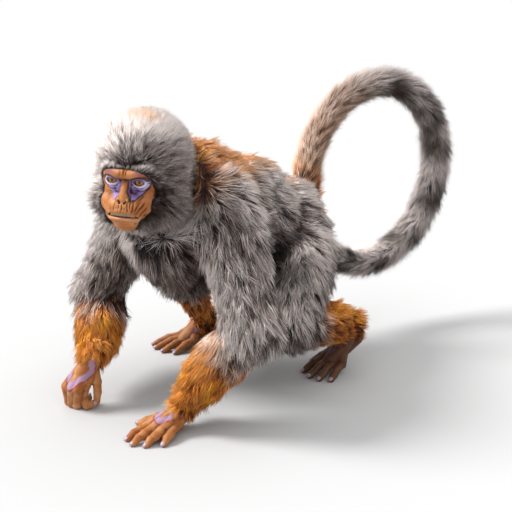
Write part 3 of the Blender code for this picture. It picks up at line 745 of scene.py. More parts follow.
def foot(side):
    ankle = JOINTS["leg_" + side][2]
    heel = mm(*HEELS[side])
    toes = [places(toe) for toe in TOES[side]]
    owner = "foot_" + side
    clay = Clay(PLACE)
    ball = (toes[1][0] + toes[2][0]) / 2
    instep = between(ankle, ball, 0.45)
    clay.limb([ankle + mm(0, 0, 12), ankle, heel], (0.0150, 0.0160, 0.0120))
    clay.limb([ankle, instep, ball], (0.0155, 0.0150, 0.0110))
    clay.limb([heel, between(heel, ball, 0.5), ball], (0.0120, 0.0110, 0.0090))
    for root, tip in toes:
        arch = between(root, tip, 0.45) + mm(0, 0, 3.5)
        clay.limb([between(instep, root, 0.15), root], (0.0115, 0.0072))
        digit(clay, [root, arch, between(root, tip, 0.78) + mm(0, 0, 1.5), tip], 0.0066, 0.0048, owner)
    digit(clay, places(BIG_TOES[side]), 0.0100, 0.0052, owner)
    return bare_skin(clay, owner, 17000)


JOINT_CREASES = (-1.9, 0.0, 1.9)  # where they are, along the digit from the joint, in mm
JOINT_CREASE_DEPTH = 0.36
JOINT_CREASE_WIDTH = 0.55
DEEPEST_JOINT_CREASE = 0.45


def creased_digits(mesh, owner):
    """Short creases across the upper side of each joint of a hand or foot."""
    points = points_of(mesh)
    normals = normals_of(mesh)
    sink = np.zeros(len(points))
    for joint, way, radius in (facts[1:] for facts in KNUCKLES if facts[0] == owner):
        apart = points - np.array(joint)
        along = apart @ np.array(way) / MM
        near = np.linalg.norm(apart, axis=1) < radius * 1.7
        above = ramp(normals[:, 2], 0.0, 0.5)
        for place in JOINT_CREASES:
            sink += JOINT_CREASE_DEPTH * bell(along, place, JOINT_CREASE_WIDTH) * near * above
    set_points(mesh, points - normals * (np.minimum(sink, DEEPEST_JOINT_CREASE) * MM)[:, None])


bare_parts = {
    "hand_left": flat_hand(),
    "hand_right": fist(),
    "foot_left": foot("left"),
    "foot_right": foot("right"),
}
for name, mesh in bare_parts.items():
    creased_digits(mesh, name)
    print(name, len(mesh.polygons), "faces")

# %% [markdown]
# The ears are small and nearly hidden in the coat. Each is a flat oval that is hollowed from outside, which
# leaves a rolled rim.

# %% Ears
EAR_RIM = (mm(57, 14, -8), tuple(mm(4.2, 10.5, 15)))
EAR_ROOT = (mm(54, 11, -10), tuple(mm(7, 7, 10)))
EAR_HOLLOW = (mm(61.3, 12.5, -8), tuple(mm(4.2, 7.5, 11.5)))
EAR_STALK = ((60, 12, -8), (46, 10, -8))
EAR_STALK_RADII = (0.006, 0.009)
EAR_VOXEL = 0.0012
CARVED_EAR_VOXEL = 0.0011


def ear(side):
    clay = Clay(HEAD)
    for centre, radii in (EAR_RIM, EAR_ROOT):
        clay.ball(on_side(centre, side), radii)
    clay.limb([Vector((side * x, y, z)) * MM for x, y, z in EAR_STALK], EAR_STALK_RADII)
    hollow = Clay(HEAD)
    hollow.ball(on_side(EAR_HOLLOW[0], side), EAR_HOLLOW[1])
    solid = finished(clay.mesh("ear"), [fuse(EAR_VOXEL), smooth(4)])
    carved = cut(solid, finished(hollow.mesh("hollow"), [fuse(EAR_VOXEL)]), "DIFFERENCE")
    return finished(carved, [fuse(CARVED_EAR_VOXEL), smooth(3)])


ears = [ear(1), ear(-1)]
print("ears:", [len(mesh.polygons) for mesh in ears])

# %% [markdown]
# All the clay is now joined into one skin, with no seam anywhere: a Boolean union keeps the fine faces of
# the head and hands and the coarser ones under the coat.

# %% One skin
FACE_TRIANGLES = 56000
skin_mesh = cut(under_coat, thinned(face, FACE_TRIANGLES), "UNION")
for part in list(bare_parts.values()) + ears:
    skin_mesh = cut(skin_mesh, part, "UNION")
skin = placed("skin", skin_mesh)
skin_mesh.shade_smooth()
skin_points = points_of(skin_mesh)
skin_normals = normals_of(skin_mesh)
skin_edges = edges_of(skin_mesh)
skin_triangles = triangles_of(skin_mesh)
skin_labels = labels_at(skin_points)
print("skin:", len(skin_triangles), "triangles")

# %% [markdown]
# Every marking and every property of the coat is a number at each point of the skin. Numbers are worked out
# from where a point is: how far along a limb or the tail, or where on the head. The tufts read the same
# numbers at their roots, so skin and coat can't disagree.

# %% Where each point of the skin is
HEAD_INVERSE = np.array(HEAD.inverted())
PLACE_INVERSE = np.array(PLACE.inverted())
TAIL_ROOT = Vector((0.000, 0.322, 0.238))
TAIL_TURN = math.radians(22)
TAIL_LOOP_CENTRE = (0.140, 0.277)
TAIL_LOOP_RADIUS = 0.146
TAIL_LOOP_OVAL = 0.010
TAIL_LOOP_LEAN = math.radians(70)
TAIL_START = math.radians(206)
TAIL_END = math.radians(-122)
TAIL_STATIONS = 240


def tail_point(share):
    """The middle of the tail, from 0 at its root to 1 near its tip: an oval loop in an upright plane."""
    angle = TAIL_START + (TAIL_END - TAIL_START) * share
    radius = TAIL_LOOP_RADIUS + TAIL_LOOP_OVAL * math.cos(2 * (angle - TAIL_LOOP_LEAN))
    along = TAIL_LOOP_CENTRE[0] + radius * math.cos(angle)
    return PLACE @ Vector((
        TAIL_ROOT.x + along * math.sin(TAIL_TURN),
        TAIL_ROOT.y + along * math.cos(TAIL_TURN),
        TAIL_LOOP_CENTRE[1] + radius * math.sin(angle),
    ))


def share_along(points, start, end):
    """How far along a length each point is: 0 at its start and 1 at its end."""
    line = np.array(end - start)
    return (points - np.array(start)) @ line / (line @ line)


def labelled(labels, *kinds):
    """Whether each label is one of these kinds of part."""
    wanted = [number for number, name in enumerate(LABELS) if kind_of(name) in kinds or name in kinds]
    return np.isin(labels, wanted)


def ripple(points, size, seed):
    """Smooth noise, about -1 to 1, whose lumps are about so large."""
    dice = np.random.default_rng(seed)
    total = np.zeros(len(points))
    for _ in range(6):
        way = unit(dice.normal(size=3)) * 2 * math.pi / (size * dice.uniform(1.2, 2.6))
        total += np.sin(points @ way + dice.uniform(0, 2 * math.pi))
    return total / 2.6


in_head = moved(skin_points, HEAD_INVERSE) / MM
in_tables = moved(skin_points, PLACE_INVERSE) / MM
stations = np.array([tail_point(i / TAIL_STATIONS) for i in range(TAIL_STATIONS + 1)])
tail_tree = KDTree(len(stations))
for number, station in enumerate(stations):
    tail_tree.insert(station, number)
tail_tree.balance()
on_tail = labelled(skin_labels, "tail")
tail_share = np.zeros(len(skin_points))
tail_share[on_tail] = [tail_tree.find(p)[1] / TAIL_STATIONS for p in skin_points[on_tail]]
limb_share = np.zeros(len(skin_points))
for side in SIDES:
    shoulder, elbow, wrist = (PLACE @ p for p in JOINTS["arm_" + side])
    hip, knee, ankle = (PLACE @ p for p in JOINTS["leg_" + side])
    lengths = ((shoulder, elbow), (elbow, wrist), (hip, knee), (knee, ankle))
    for part, (start, end) in zip(LIMB_PARTS, lengths):
        here = labelled(skin_labels, f"{part}_{side}")
        limb_share[here] = share_along(skin_points[here], start, end)
print("on the tail:", int(on_tail.sum()))

# %% Which skin is bare
FACE_HALF = (34.0, 41.0)
FACE_MIDDLE = -29.0
SQUARENESS = (4.5, 2.4)  # of its outline's upper and lower half; 2 is an oval
JAW_NARROWER = 0.33  # the share of its width that the bare skin loses from the mouth down to the chin
FACE_FRONT = (-27.0, -33.0)  # how far back the bare skin goes, in the middle and at its sides
CUFF = (0.70, 0.98)  # the part of the forearm where the coat gets shorter
WRIST_SHARE = 0.99  # and where it ends


def distance_in(points, place, size):
    """Each point's distance from a place, as a share of the size: 1 is on an oval of those half widths."""
    return np.linalg.norm((points - np.array(place)) / np.array(size), axis=1)


def face_edge(local):
    """Under 1 inside the outline of the bare face, which is squarer at the brow than at the chin."""
    half = FACE_HALF[0] * (1 - JAW_NARROWER * ramp(-local[:, 2], 38, 56))
    across = np.abs(local[:, 0]) / half
    up = (local[:, 2] - FACE_MIDDLE) / FACE_HALF[1]
    power = np.where(up > 0, *SQUARENESS)
    return across ** power + np.abs(up) ** power


on_head = labelled(skin_labels, "head", "face", "jaw", "ear")
to_side = ramp(np.abs(in_head[:, 0]), 24, 35)
in_front = in_head[:, 1] < FACE_FRONT[0] + (FACE_FRONT[1] - FACE_FRONT[0]) * to_side
in_face = on_head & in_front & (face_edge(in_head) < 1.0)
ear_folded = np.stack([np.abs(in_head[:, 0]), in_head[:, 1], in_head[:, 2]], axis=1)
in_ear = distance_in(ear_folded, np.array(EAR_HOLLOW[0]) / MM, np.array(EAR_HOLLOW[1]) / MM) < 1.06
on_forearm = labelled(skin_labels, "forearm")
cuff = on_forearm * ramp(limb_share, *CUFF)
bare = in_face | labelled(skin_labels, "hand", "foot") | (in_ear & on_head)
bare = bare | (on_forearm & (limb_share > WRIST_SHARE))
furred = ~bare
print("furred share of the skin's points:", round(furred.mean(), 2))

# %% [markdown]
# The coat is grey, and it is orange on the forearms, the shins, the nape and the root of the tail. The tail
# has dark bands towards its end. Ovals and lengths with soft, ragged edges say where each colour lies. They
# could be painted by hand, but numbers can be changed one at a time.

# %% Where the coat is orange
ORANGE_FOREARM = (0.08, 0.36)  # it turns orange between these shares of its length
ORANGE_SHIN = (0.12, 0.42)
NAPE = Vector((0.014, 0.045, 0.368))
NAPE_SIZE = (80, 105, 62)
CROWN = (-2.0, -18.0, 70.0)
CROWN_SIZE = (28, 13, 16)
TAIL_ROOT_SIZE = 60
TRUNK = ("chest", "belly", "hips")
speckle = ripple(skin_points, 0.022, 11)
patches = ripple(skin_points, 0.045, 12)

orange = np.zeros(len(skin_points))
orange[on_forearm] = ramp(limb_share + 0.10 * speckle, *ORANGE_FOREARM)[on_forearm]
on_shin = labelled(skin_labels, "shin")
orange[on_shin] = ramp(limb_share + 0.12 * speckle, *ORANGE_SHIN)[on_shin]
orange[labelled(skin_labels, "hand", "foot")] = 1.0
from_nape = distance_in(in_tables, np.array(NAPE) / MM, NAPE_SIZE)
nape_patch = ramp(-from_nape + 0.16 * speckle + 0.16 * patches, -1.12, -0.60)
nape_patch = nape_patch * labelled(skin_labels, "neck", "upper_arm", *TRUNK)
midline = np.abs(in_tables[:, 0]) + 7 * speckle
strip = ramp(-midline, -34, -10) * ramp(in_tables[:, 2], 270, 310) * labelled(skin_labels, *TRUNK)
orange = np.maximum(orange, np.maximum(0.72 * nape_patch, 0.70 * strip))
tail_base = 0.80 * ramp(-tail_share + 0.02 * speckle, -0.13, -0.03) + 0.15 * ramp(-tail_share, -0.36, -0.12)
tail_root = ramp(-distance_in(in_tables, np.array(TAIL_ROOT) / MM, TAIL_ROOT_SIZE), -1.0, -0.5)
orange = np.maximum(orange, np.where(on_tail, tail_base, tail_root))
from_crown = distance_in(in_head, CROWN, CROWN_SIZE)
orange = np.maximum(orange, 0.85 * ramp(-from_crown + 0.2 * speckle, -1.0, -0.4) * on_head)
print("orange covers", round(float(orange.mean()), 2))

# %% The tail's bands
TAIL_BANDS = 10
FIRST_BAND = 0.9 * math.pi
BANDS_FROM = (0.42, 0.54)  # the share of the tail where the bands set in
TAIL_SPOTS = (
    (71, 464, 418), (111, 550, 366), (108, 561, 319), (111, 553, 230), (72, 501, 162), (47, 408, 140),
)
TAIL_SPOT_SIZE = 25.0
tail_middle = stations[np.minimum((tail_share * TAIL_STATIONS).astype(int), TAIL_STATIONS)]
loop_centre = PLACE @ Vector((
    TAIL_LOOP_CENTRE[0] * math.sin(TAIL_TURN) + TAIL_ROOT.x,
    TAIL_LOOP_CENTRE[0] * math.cos(TAIL_TURN) + TAIL_ROOT.y,
    TAIL_LOOP_CENTRE[1],
))
inward = (unit(np.array(loop_centre) - tail_middle) * unit(skin_points - tail_middle)).sum(axis=1)
bands = 0.5 + 0.5 * np.sin(tail_share * 2 * math.pi * TAIL_BANDS + FIRST_BAND + 0.9 * speckle)
# Darker on the inside of the loop before the bands set in: dark hair there, with painted shade
inner_side = ramp(inward + 0.5 * patches + 0.9 * (bands - 0.5), -0.1, 0.7)
late = ramp(tail_share, *BANDS_FROM)
banded = ramp(bands + 0.3 * speckle, 0.40, 0.80) * ramp(-inward, -0.75, -0.10)
dark_early = 0.9 * inner_side * ramp(tail_share, 0.22, 0.45) * (1 - late)
tail_dark = np.where(on_tail, dark_early + 0.95 * banded * late, 0.0)
# Paler outside and darker inside the loop before the bands: partly the hair's own tone, partly painted shade
tail_pale = 0.24 - 0.50 * ramp(inward, -0.8, 0.6) * (1 - late)
tail_pale = tail_pale + 0.22 * ramp(inward, -0.2, 0.8) * late - 0.30 * (bands - 0.5)
print("bands and spots:", TAIL_BANDS, len(TAIL_SPOTS))

# %% Where the coat is dark, pale or tan, and where light and shade are painted on it
# Painted light: the coat is painted paler on the side turned towards the key lamp, and darker on the sides
# turned away
PAINTED_LIGHT_SIDE = unit(np.array([-0.70, -0.25, 0.66]))  # the coat is palest on the side that is turned this way
# Painted shade, over dark fur, in the hollow between the arm and the thigh
THIGH_HOLLOW = ((85, 120, 205), (70, 60, 60))  # an oval's middle and its half widths
# Painted shade over dark fur on the front of the thigh, and the painted shadow of the head below the ear
DARK_OVALS = [
    ((70, 155, 200), (45, 42, 62), 0.85),  # the front of the thigh, and how dark it is
    ((82, -4, 300), (42, 34, 34), 0.65),  # below the ear
]
# Painted light and shade: paler where the coat faces the key lamp or upwards, darker where it faces away
painted_light = np.maximum(ramp(skin_normals @ PAINTED_LIGHT_SIDE, -0.35, 0.85), ramp(skin_normals[:, 2], 0.15, 0.80))
paleness_and_painted_shading = np.where(on_tail, tail_pale, 0.68 * painted_light - 0.31) + 0.08 * patches
underside = ramp(-skin_normals[:, 2], 0.0, 0.8)
from_edge = np.maximum(face_edge(in_head) - 1.0, 0.0)
beside_face = np.exp(-from_edge / 1.5) * (in_head[:, 1] < 10) * on_head
rim = np.exp(-from_edge / 0.30) * (in_head[:, 1] < -10) * on_head
# Darker coat: the tail's bands and spots and the dark rim round the face are the coat's own colour, and the
# rest is painted shade
dark_coat_and_shade = np.maximum.reduce([
    tail_dark,
    # painted shade under the neck, the thighs and the trunk
    0.7 * underside * labelled(skin_labels, "neck", "thigh", *TRUNK),
    # painted shade beside the face on its left side
    beside_face * ramp(in_head[:, 0], 10, 30) * ramp(-in_head[:, 2], -6, 12),
    # painted shade under the chin
    0.6 * beside_face * ramp(-in_head[:, 2], 55, 75),
    0.85 * rim,
    # painted shade, over dark fur, in the hollow between the arm and the thigh
    0.8 * ramp(-distance_in(in_tables, *THIGH_HOLLOW) + 0.25 * patches, -1.0, -0.4),
])
for spot in TAIL_SPOTS:
    from_spot = np.linalg.norm(in_tables - np.array(spot), axis=1) / TAIL_SPOT_SIZE
    dark_coat_and_shade = np.maximum(dark_coat_and_shade, 0.95 * ramp(-from_spot + 0.25 * speckle, -1.0, -0.45) * on_tail)
# Painted shade from the ovals above
for place, size, share in DARK_OVALS:
    patch = ramp(-distance_in(in_tables, place, size) + 0.3 * patches + 0.1 * speckle, -1.0, -0.35)
    dark_coat_and_shade = np.maximum(dark_coat_and_shade, share * patch * (1 - nape_patch))
beard = on_head * ramp(-in_head[:, 2], 58, 70) * ramp(-in_head[:, 0], -22, -8)
# Painted light: the top of the head is paler. Painted shade: the head's right side, which the key lamp
# lights, is darker
top_of_head = on_head * ramp(in_head[:, 2], 14, 36)
right_side = on_head * ramp(-in_head[:, 0], -4, 34)
paleness_and_painted_shading = paleness_and_painted_shading + 0.25 * beard + 0.06 * top_of_head - 0.27 * right_side
# Painted shade: the left shin, turned away from the key lamp, is a little darker
dark_coat_and_shade = np.maximum(dark_coat_and_shade * (1 - 0.8 * beard), 0.20 * labelled(skin_labels, "shin_left"))
tan = np.where(on_tail, ramp(-tail_share, -0.40, -0.22) * (1 - tail_base), 0.0)
# The coat's markings, with the painted shade that goes with the dark ones
MARKINGS_AND_SHADE = {"orange": orange, "dark_coat_and_shade": dark_coat_and_shade, "tan": tan}
for name in MARKINGS_AND_SHADE:
    MARKINGS_AND_SHADE[name] = np.clip(spread(MARKINGS_AND_SHADE[name], skin_edges, 3), 0, 1)
    print(name, "covers", round(float(MARKINGS_AND_SHADE[name].mean()), 2))

# %% [markdown]
# The lie of the coat: hair runs down a limb towards the hand or foot, backwards and down on the trunk,
# away from the face on the head, and along the tail. Each part is given its direction, and averaging between
# neighbours makes the directions turn smoothly from part to part, as whorls and partings do.

# %% The lie of the coat
FACE_MIDDLE_POINT = np.array([0.0, -70.0, -24.0])
DOWN = np.array([0, 0, -1.0])
BACK = np.array([0, 1.0, 0])
lie = np.zeros_like(skin_points)
lie[:] = unit(np.array([0.0, 0.75, -0.55]))
for side in SIDES:
    shoulder, elbow, wrist = (np.array(PLACE @ p) for p in JOINTS["arm_" + side])
    hip, knee, ankle = (np.array(PLACE @ p) for p in JOINTS["leg_" + side])
    lie[labelled(skin_labels, "upper_arm_" + side)] = unit(unit(elbow - shoulder) + 0.15 * DOWN)
    lie[labelled(skin_labels, "forearm_" + side)] = unit(unit(wrist - elbow) + 0.25 * DOWN + 0.2 * BACK)
    lie[labelled(skin_labels, "thigh_" + side)] = unit(0.6 * unit(knee - hip) + 0.7 * DOWN + 0.3 * BACK)
    lie[labelled(skin_labels, "shin_" + side)] = unit(unit(ankle - knee) + 0.3 * DOWN)
from_face = in_head - FACE_MIDDLE_POINT
head_turn = np.array(HEAD_ROTATION.to_3x3())
lie[on_head] = (unit(unit(from_face) + np.array([0, 0.15, -0.25])) @ head_turn.T)[on_head]
after = stations[np.minimum((tail_share * TAIL_STATIONS).astype(int) + 1, TAIL_STATIONS)]
before = stations[np.maximum((tail_share * TAIL_STATIONS).astype(int) - 1, 0)]
lie[on_tail] = unit(after - before)[on_tail]
lie = spread(lie, skin_edges, 14)
lie -= (lie * skin_normals).sum(axis=1, keepdims=True) * skin_normals
lie = unit(lie)
print("lie set at", len(lie), "points")

# %% How deep and how long the coat is
FARTHEST = 0.024
DEPTH_OF_BARE = 0.004
DEPTH_IF_MISSED = 0.012
SHALLOWEST = 0.003
hull_tree = surface_tree(points_of(hull), hull)
depth = np.full(len(skin_points), DEPTH_OF_BARE)
for number in np.flatnonzero(furred):
    hit = hull_tree.ray_cast(skin_points[number], skin_normals[number], FARTHEST)
    depth[number] = hit[3] if hit[3] is not None else DEPTH_IF_MISSED
depth = np.clip(spread(depth, skin_edges, 10), SHALLOWEST, FARTHEST)

COAT_LENGTH = {
    "neck": 0.032, "chest": 0.038, "belly": 0.038, "hips": 0.038, "upper_arm": 0.038, "forearm": 0.037,
    "thigh": 0.038, "shin": 0.023, "tail": 0.025, "head": 0.020, "face": 0.010, "jaw": 0.010, "hand": 0.010,
    "foot": 0.010, "ear": 0.008,
}
length = np.array([COAT_LENGTH[kind_of(name)] for name in LABELS])[skin_labels]
on_cheek = on_head * ramp(-in_head[:, 2], -20, 25)
near_face = on_head * (in_head[:, 1] < 0) * ramp(-face_edge(in_head), -2.2, -1.0)
length = spread(length + 0.006 * on_cheek, skin_edges, 12) * (1 - 0.35 * cuff) * (1 - 0.45 * near_face)
print("coat depth, mm:", round(float(depth[furred].min()) / MM, 1), "to", round(float(depth.max()) / MM, 1))

# %% [markdown]
# A tuft is a small tapered lock of three sides that closes at its tip. One is made with operators, and
# the whole coat is that shape again and again: an array gives each copy its root, its length and its bend.

# %% The tuft
LOCK_RINGS = (0.0, 0.48)
LOCK_WIDTHS = (0.85, 1.0)
SPIKE_RINGS = (0.0,)
SPIKE_WIDTHS = (1.0,)
SAME_POINT = 0.000001


def lock_shape(rings):
    """A closed three-sided lock as points, one unit high, and triangles."""
    bm = bmesh.new()
    bmesh.ops.create_cone(bm, cap_ends=True, segments=3, radius1=1.0, radius2=0.0, depth=1.0)
    bmesh.ops.translate(bm, vec=(0, 0, 0.5), verts=bm.verts[:])
    bmesh.ops.remove_doubles(bm, verts=bm.verts[:], dist=SAME_POINT)
    for height in rings[1:]:
        bmesh.ops.bisect_plane(bm, geom=bm.verts[:] + bm.edges[:] + bm.faces[:], plane_co=(0, 0, height),
                               plane_no=(0, 0, 1))
    bmesh.ops.triangulate(bm, faces=bm.faces[:])
    bmesh.ops.recalc_face_normals(bm, faces=bm.faces[:])
    bm.verts.index_update()
    shape = np.array([v.co[:] for v in bm.verts])
    faces = np.array([[v.index for v in f.verts] for f in bm.faces], np.int32)
    bm.free()
    return shape, faces


LOCK = (LOCK_RINGS, LOCK_WIDTHS, *lock_shape(LOCK_RINGS))
SPIKE = (SPIKE_RINGS, SPIKE_WIDTHS, *lock_shape(SPIKE_RINGS))
print("a lock has", len(LOCK[3]), "triangles, and a spike of the short coat has", len(SPIKE[3]))

# %% Coat pieces
COAT = {
    "coat_head_left": (39000, ("head", "face", "jaw", "ear"), "left"),
    "coat_head_right": (35000, ("head", "face", "jaw", "ear"), "right"),
    "coat_chest": (19500, ("neck", "chest"), None),
    "coat_belly": (12000, ("belly",), None),
    "coat_hips": (13000, ("hips",), None),
    "coat_arm_left": (19000, ("upper_arm_left", "forearm_left", "hand_left"), None),
    "coat_arm_right": (17000, ("upper_arm_right", "forearm_right", "hand_right"), None),
    "coat_leg_left": (13500, ("thigh_left", "shin_left", "foot_left"), None),
    "coat_leg_right": (9500, ("thigh_right", "shin_right", "foot_right"), None),
    "coat_tail": (40000, ("tail",), None),
}
SHORT_COATS = ("coat_head_left", "coat_head_right", "coat_tail")
LONG_COAT = {
    "tuft": LOCK,
    "buried": 0.0,  # a tuft starts so far up its hair, because the part below never shows
    "strays": 0.07,  # the share of tufts that stand out from the rest
    "lowest": 0.72,  # the height of the lowest clump; HIGHEST_CLUMP is that of the highest
    "ridge_height": 0.35,  # how much higher the middle of a clump stands
    "pull": (0.35, 0.85),  # how far tips are drawn towards the middle of their clump
    "width": 1.0,
    "clump_tone": 0.16,  # how much the clumps differ in tone
    # painted light: the middle of a clump stands highest and is painted paler, so the gaps between clumps
    # look shaded
    "ridge_tone": 0.28,  # how much paler the middle of a clump is
}
SHORT_COAT = {
    "tuft": SPIKE, "buried": 0.30, "strays": 0.22, "lowest": 0.86, "ridge_height": 0.15, "pull": (0.20, 0.60),
    # the middles of its clumps are painted paler too, as painted light
    "width": 0.75, "clump_tone": 0.09, "ridge_tone": 0.10,
}
LOCK_WIDTH = 0.00054  # half the width at its widest
THICKNESS = 0.7  # of a tuft, as a share of its width
WIDTHS = (0.7, 1.3)  # the widths, lengths and heights of tufts vary between these shares
LENGTHS = (0.75, 1.15)
HEIGHTS = (0.35, 0.90)
STRAY_HEIGHTS = (0.1, 0.7)  # how much more a stray stands up
HIGHEST_CLUMP = 1.06
TUFTS_IN_CLUMP = 18
CLUMP_SWING = 0.22  # how far clumps turn aside, and tufts in a clump, in radians
TUFT_SWING = 0.16
TAIL_FLUFF = 1.45  # the tail's hair stands out more than the rest
RISE = (0.05, 0.92)  # the least and the most that a tuft rises on its length
TIPS_APART = 0.25  # of the distance between their roots, in a clump
STRAY_PULL = 0.4
BEND = 1.5  # a tuft starts so much more steeply than it rises as a whole
WAVE = 0.05  # how far its middle lies to one side, as a share of its length
TIP_OFF_FLOOR = 0.0005  # no tip comes nearer to the floor than this
USUAL_LENGTH = 0.028  # a longer tuft is wider, within these shares
WIDTH_BY_LENGTH = (0.7, 1.1)
# Painted light and shade by height: a raised tuft is painted paler and a low one darker
LEVEL_HEIGHT = 0.65  # a tuft that stands up more than this is paler, and a lower one is darker
RAISED_TONE = 0.40
MOST_RAISED = 0.3
TUFT_TONE = 0.18  # how much tufts differ in tone, and in their markings
MARKING_NOISE = 0.10
PATCH = 0.003
print("tufts:", sum(count for count, kinds, half in COAT.values()))

# %% Roots and clumps
dice = np.random.default_rng(20)


def roots_for(kinds, half, count):
    """Random places on the furred skin of these parts."""
    wanted = labelled(skin_labels, *kinds) & furred
    if half:
        wanted &= (in_head[:, 0] >= 0) == (half == "left")
    triangles = skin_triangles[wanted[skin_triangles].sum(axis=1) >= 2]
    chosen, weights = scattered(skin_points, triangles, count, dice)
    return triangles, chosen, weights


def clump_of(roots, count):
    """The tufts that clumps form round, and the number of the clump that each tuft belongs to."""
    centres = dice.choice(len(roots), count, replace=False)
    tree = KDTree(count)
    for number, at in enumerate(centres):
        tree.insert(roots[at], number)
    tree.balance()
    return centres, np.array([tree.find(p)[1] for p in roots])


def turned(vectors, axes, angles):
    """Vectors turned about unit axes at right angles to them."""
    return vectors * np.cos(angles)[:, None] + np.cross(axes, vectors) * np.sin(angles)[:, None]

# %% [markdown]
# A tuft on the real animal rises from its root, bends over and tapers. Each copy of the tuft is laid along
# such a curve. A hair system could do this too, but closed meshes can be handed over just as they are.

# %% A piece's mesh
def tuft_mesh(name, points, shape_faces):
    """Every tuft of a piece as one mesh, from the points of each."""
    count, size = points.shape[:2]
    faces = (shape_faces[None] + (np.arange(count) * size)[:, None, None]).reshape(-1, 3)
    mesh = bpy.data.meshes.new(name)
    mesh.from_pydata(np.zeros((0, 3)), [], [])
    mesh.vertices.add(count * size)
    mesh.vertices.foreach_set("co", points.astype(np.float32).ravel())
    mesh.loops.add(len(faces) * 3)
    mesh.loops.foreach_set("vertex_index", faces.astype(np.int32).ravel())
    mesh.polygons.add(len(faces))
    mesh.polygons.foreach_set("loop_start", np.arange(len(faces), dtype=np.int32) * 3)
    mesh.update(calc_edges=True)
    mesh.shade_smooth()
    return mesh


def tuft_points(coat, root, knee, tip, across, width):
    """The tuft's shape laid along a curve from each root past its knee to its tip."""
    rings, ring_widths, shape = coat["tuft"][:3]
    step = shape[:, 2]
    t = step[None, :, None]
    spine = (root[:, None] * (1 - t) ** 2 + knee[:, None] * 2 * t * (1 - t) + tip[:, None] * t ** 2)
    spine_up = unit(np.cross(tip - root, across))[:, None]
    fat = np.interp(step, (*rings, 1.0), (*ring_widths, 0.0))[None, :, None]
    ring = shape[:, :2] / np.maximum(1 - step, 0.05)[:, None]
    half = width[:, None, None]
    sideways = across[:, None] * (ring[None, :, :1] * fat * half)
    points = spine + sideways + spine_up * (ring[None, :, 1:2] * fat * half * THICKNESS)
    points[:, :, 2] = np.maximum(points[:, :, 2], TIP_OFF_FLOOR * step)
    return points


def add_layers(mesh, layers):
    """Puts numbers at the mesh's points, under their names."""
    for key, values in layers.items():
        layer = mesh.attributes.new(key, "FLOAT", "POINT")
        layer.data.foreach_set("value", np.array(values, np.float32))


def add_patches(mesh, root, shape):
    """The map OFBake: each tuft is a small patch at its root's place, unwrapped round its axis."""
    centred = root - root.mean(axis=0)
    axes = np.linalg.svd(centred, full_matrices=False)[2]
    local = centred @ axes.T
    u = (np.arctan2(local[:, 2], local[:, 1]) / (2 * math.pi) + 0.5) * (1 - 2 * PATCH)
    v = (local[:, 0] - local[:, 0].min()) / np.ptp(local[:, 0]) * (1 - 2 * PATCH)
    corner = shape[:, :2] / 2 + 0.5
    place = np.stack([
        u[:, None] + corner[None, :, 0] * PATCH,
        v[:, None] + shape[None, :, 2] * PATCH,
    ], axis=2).reshape(-1, 2)
    loops = np.empty(len(mesh.loops), np.int32)
    mesh.loops.foreach_get("vertex_index", loops)
    layer = mesh.uv_layers.new(name="OFBake")
    layer.data.foreach_set("uv", place[loops].astype(np.float32).ravel())

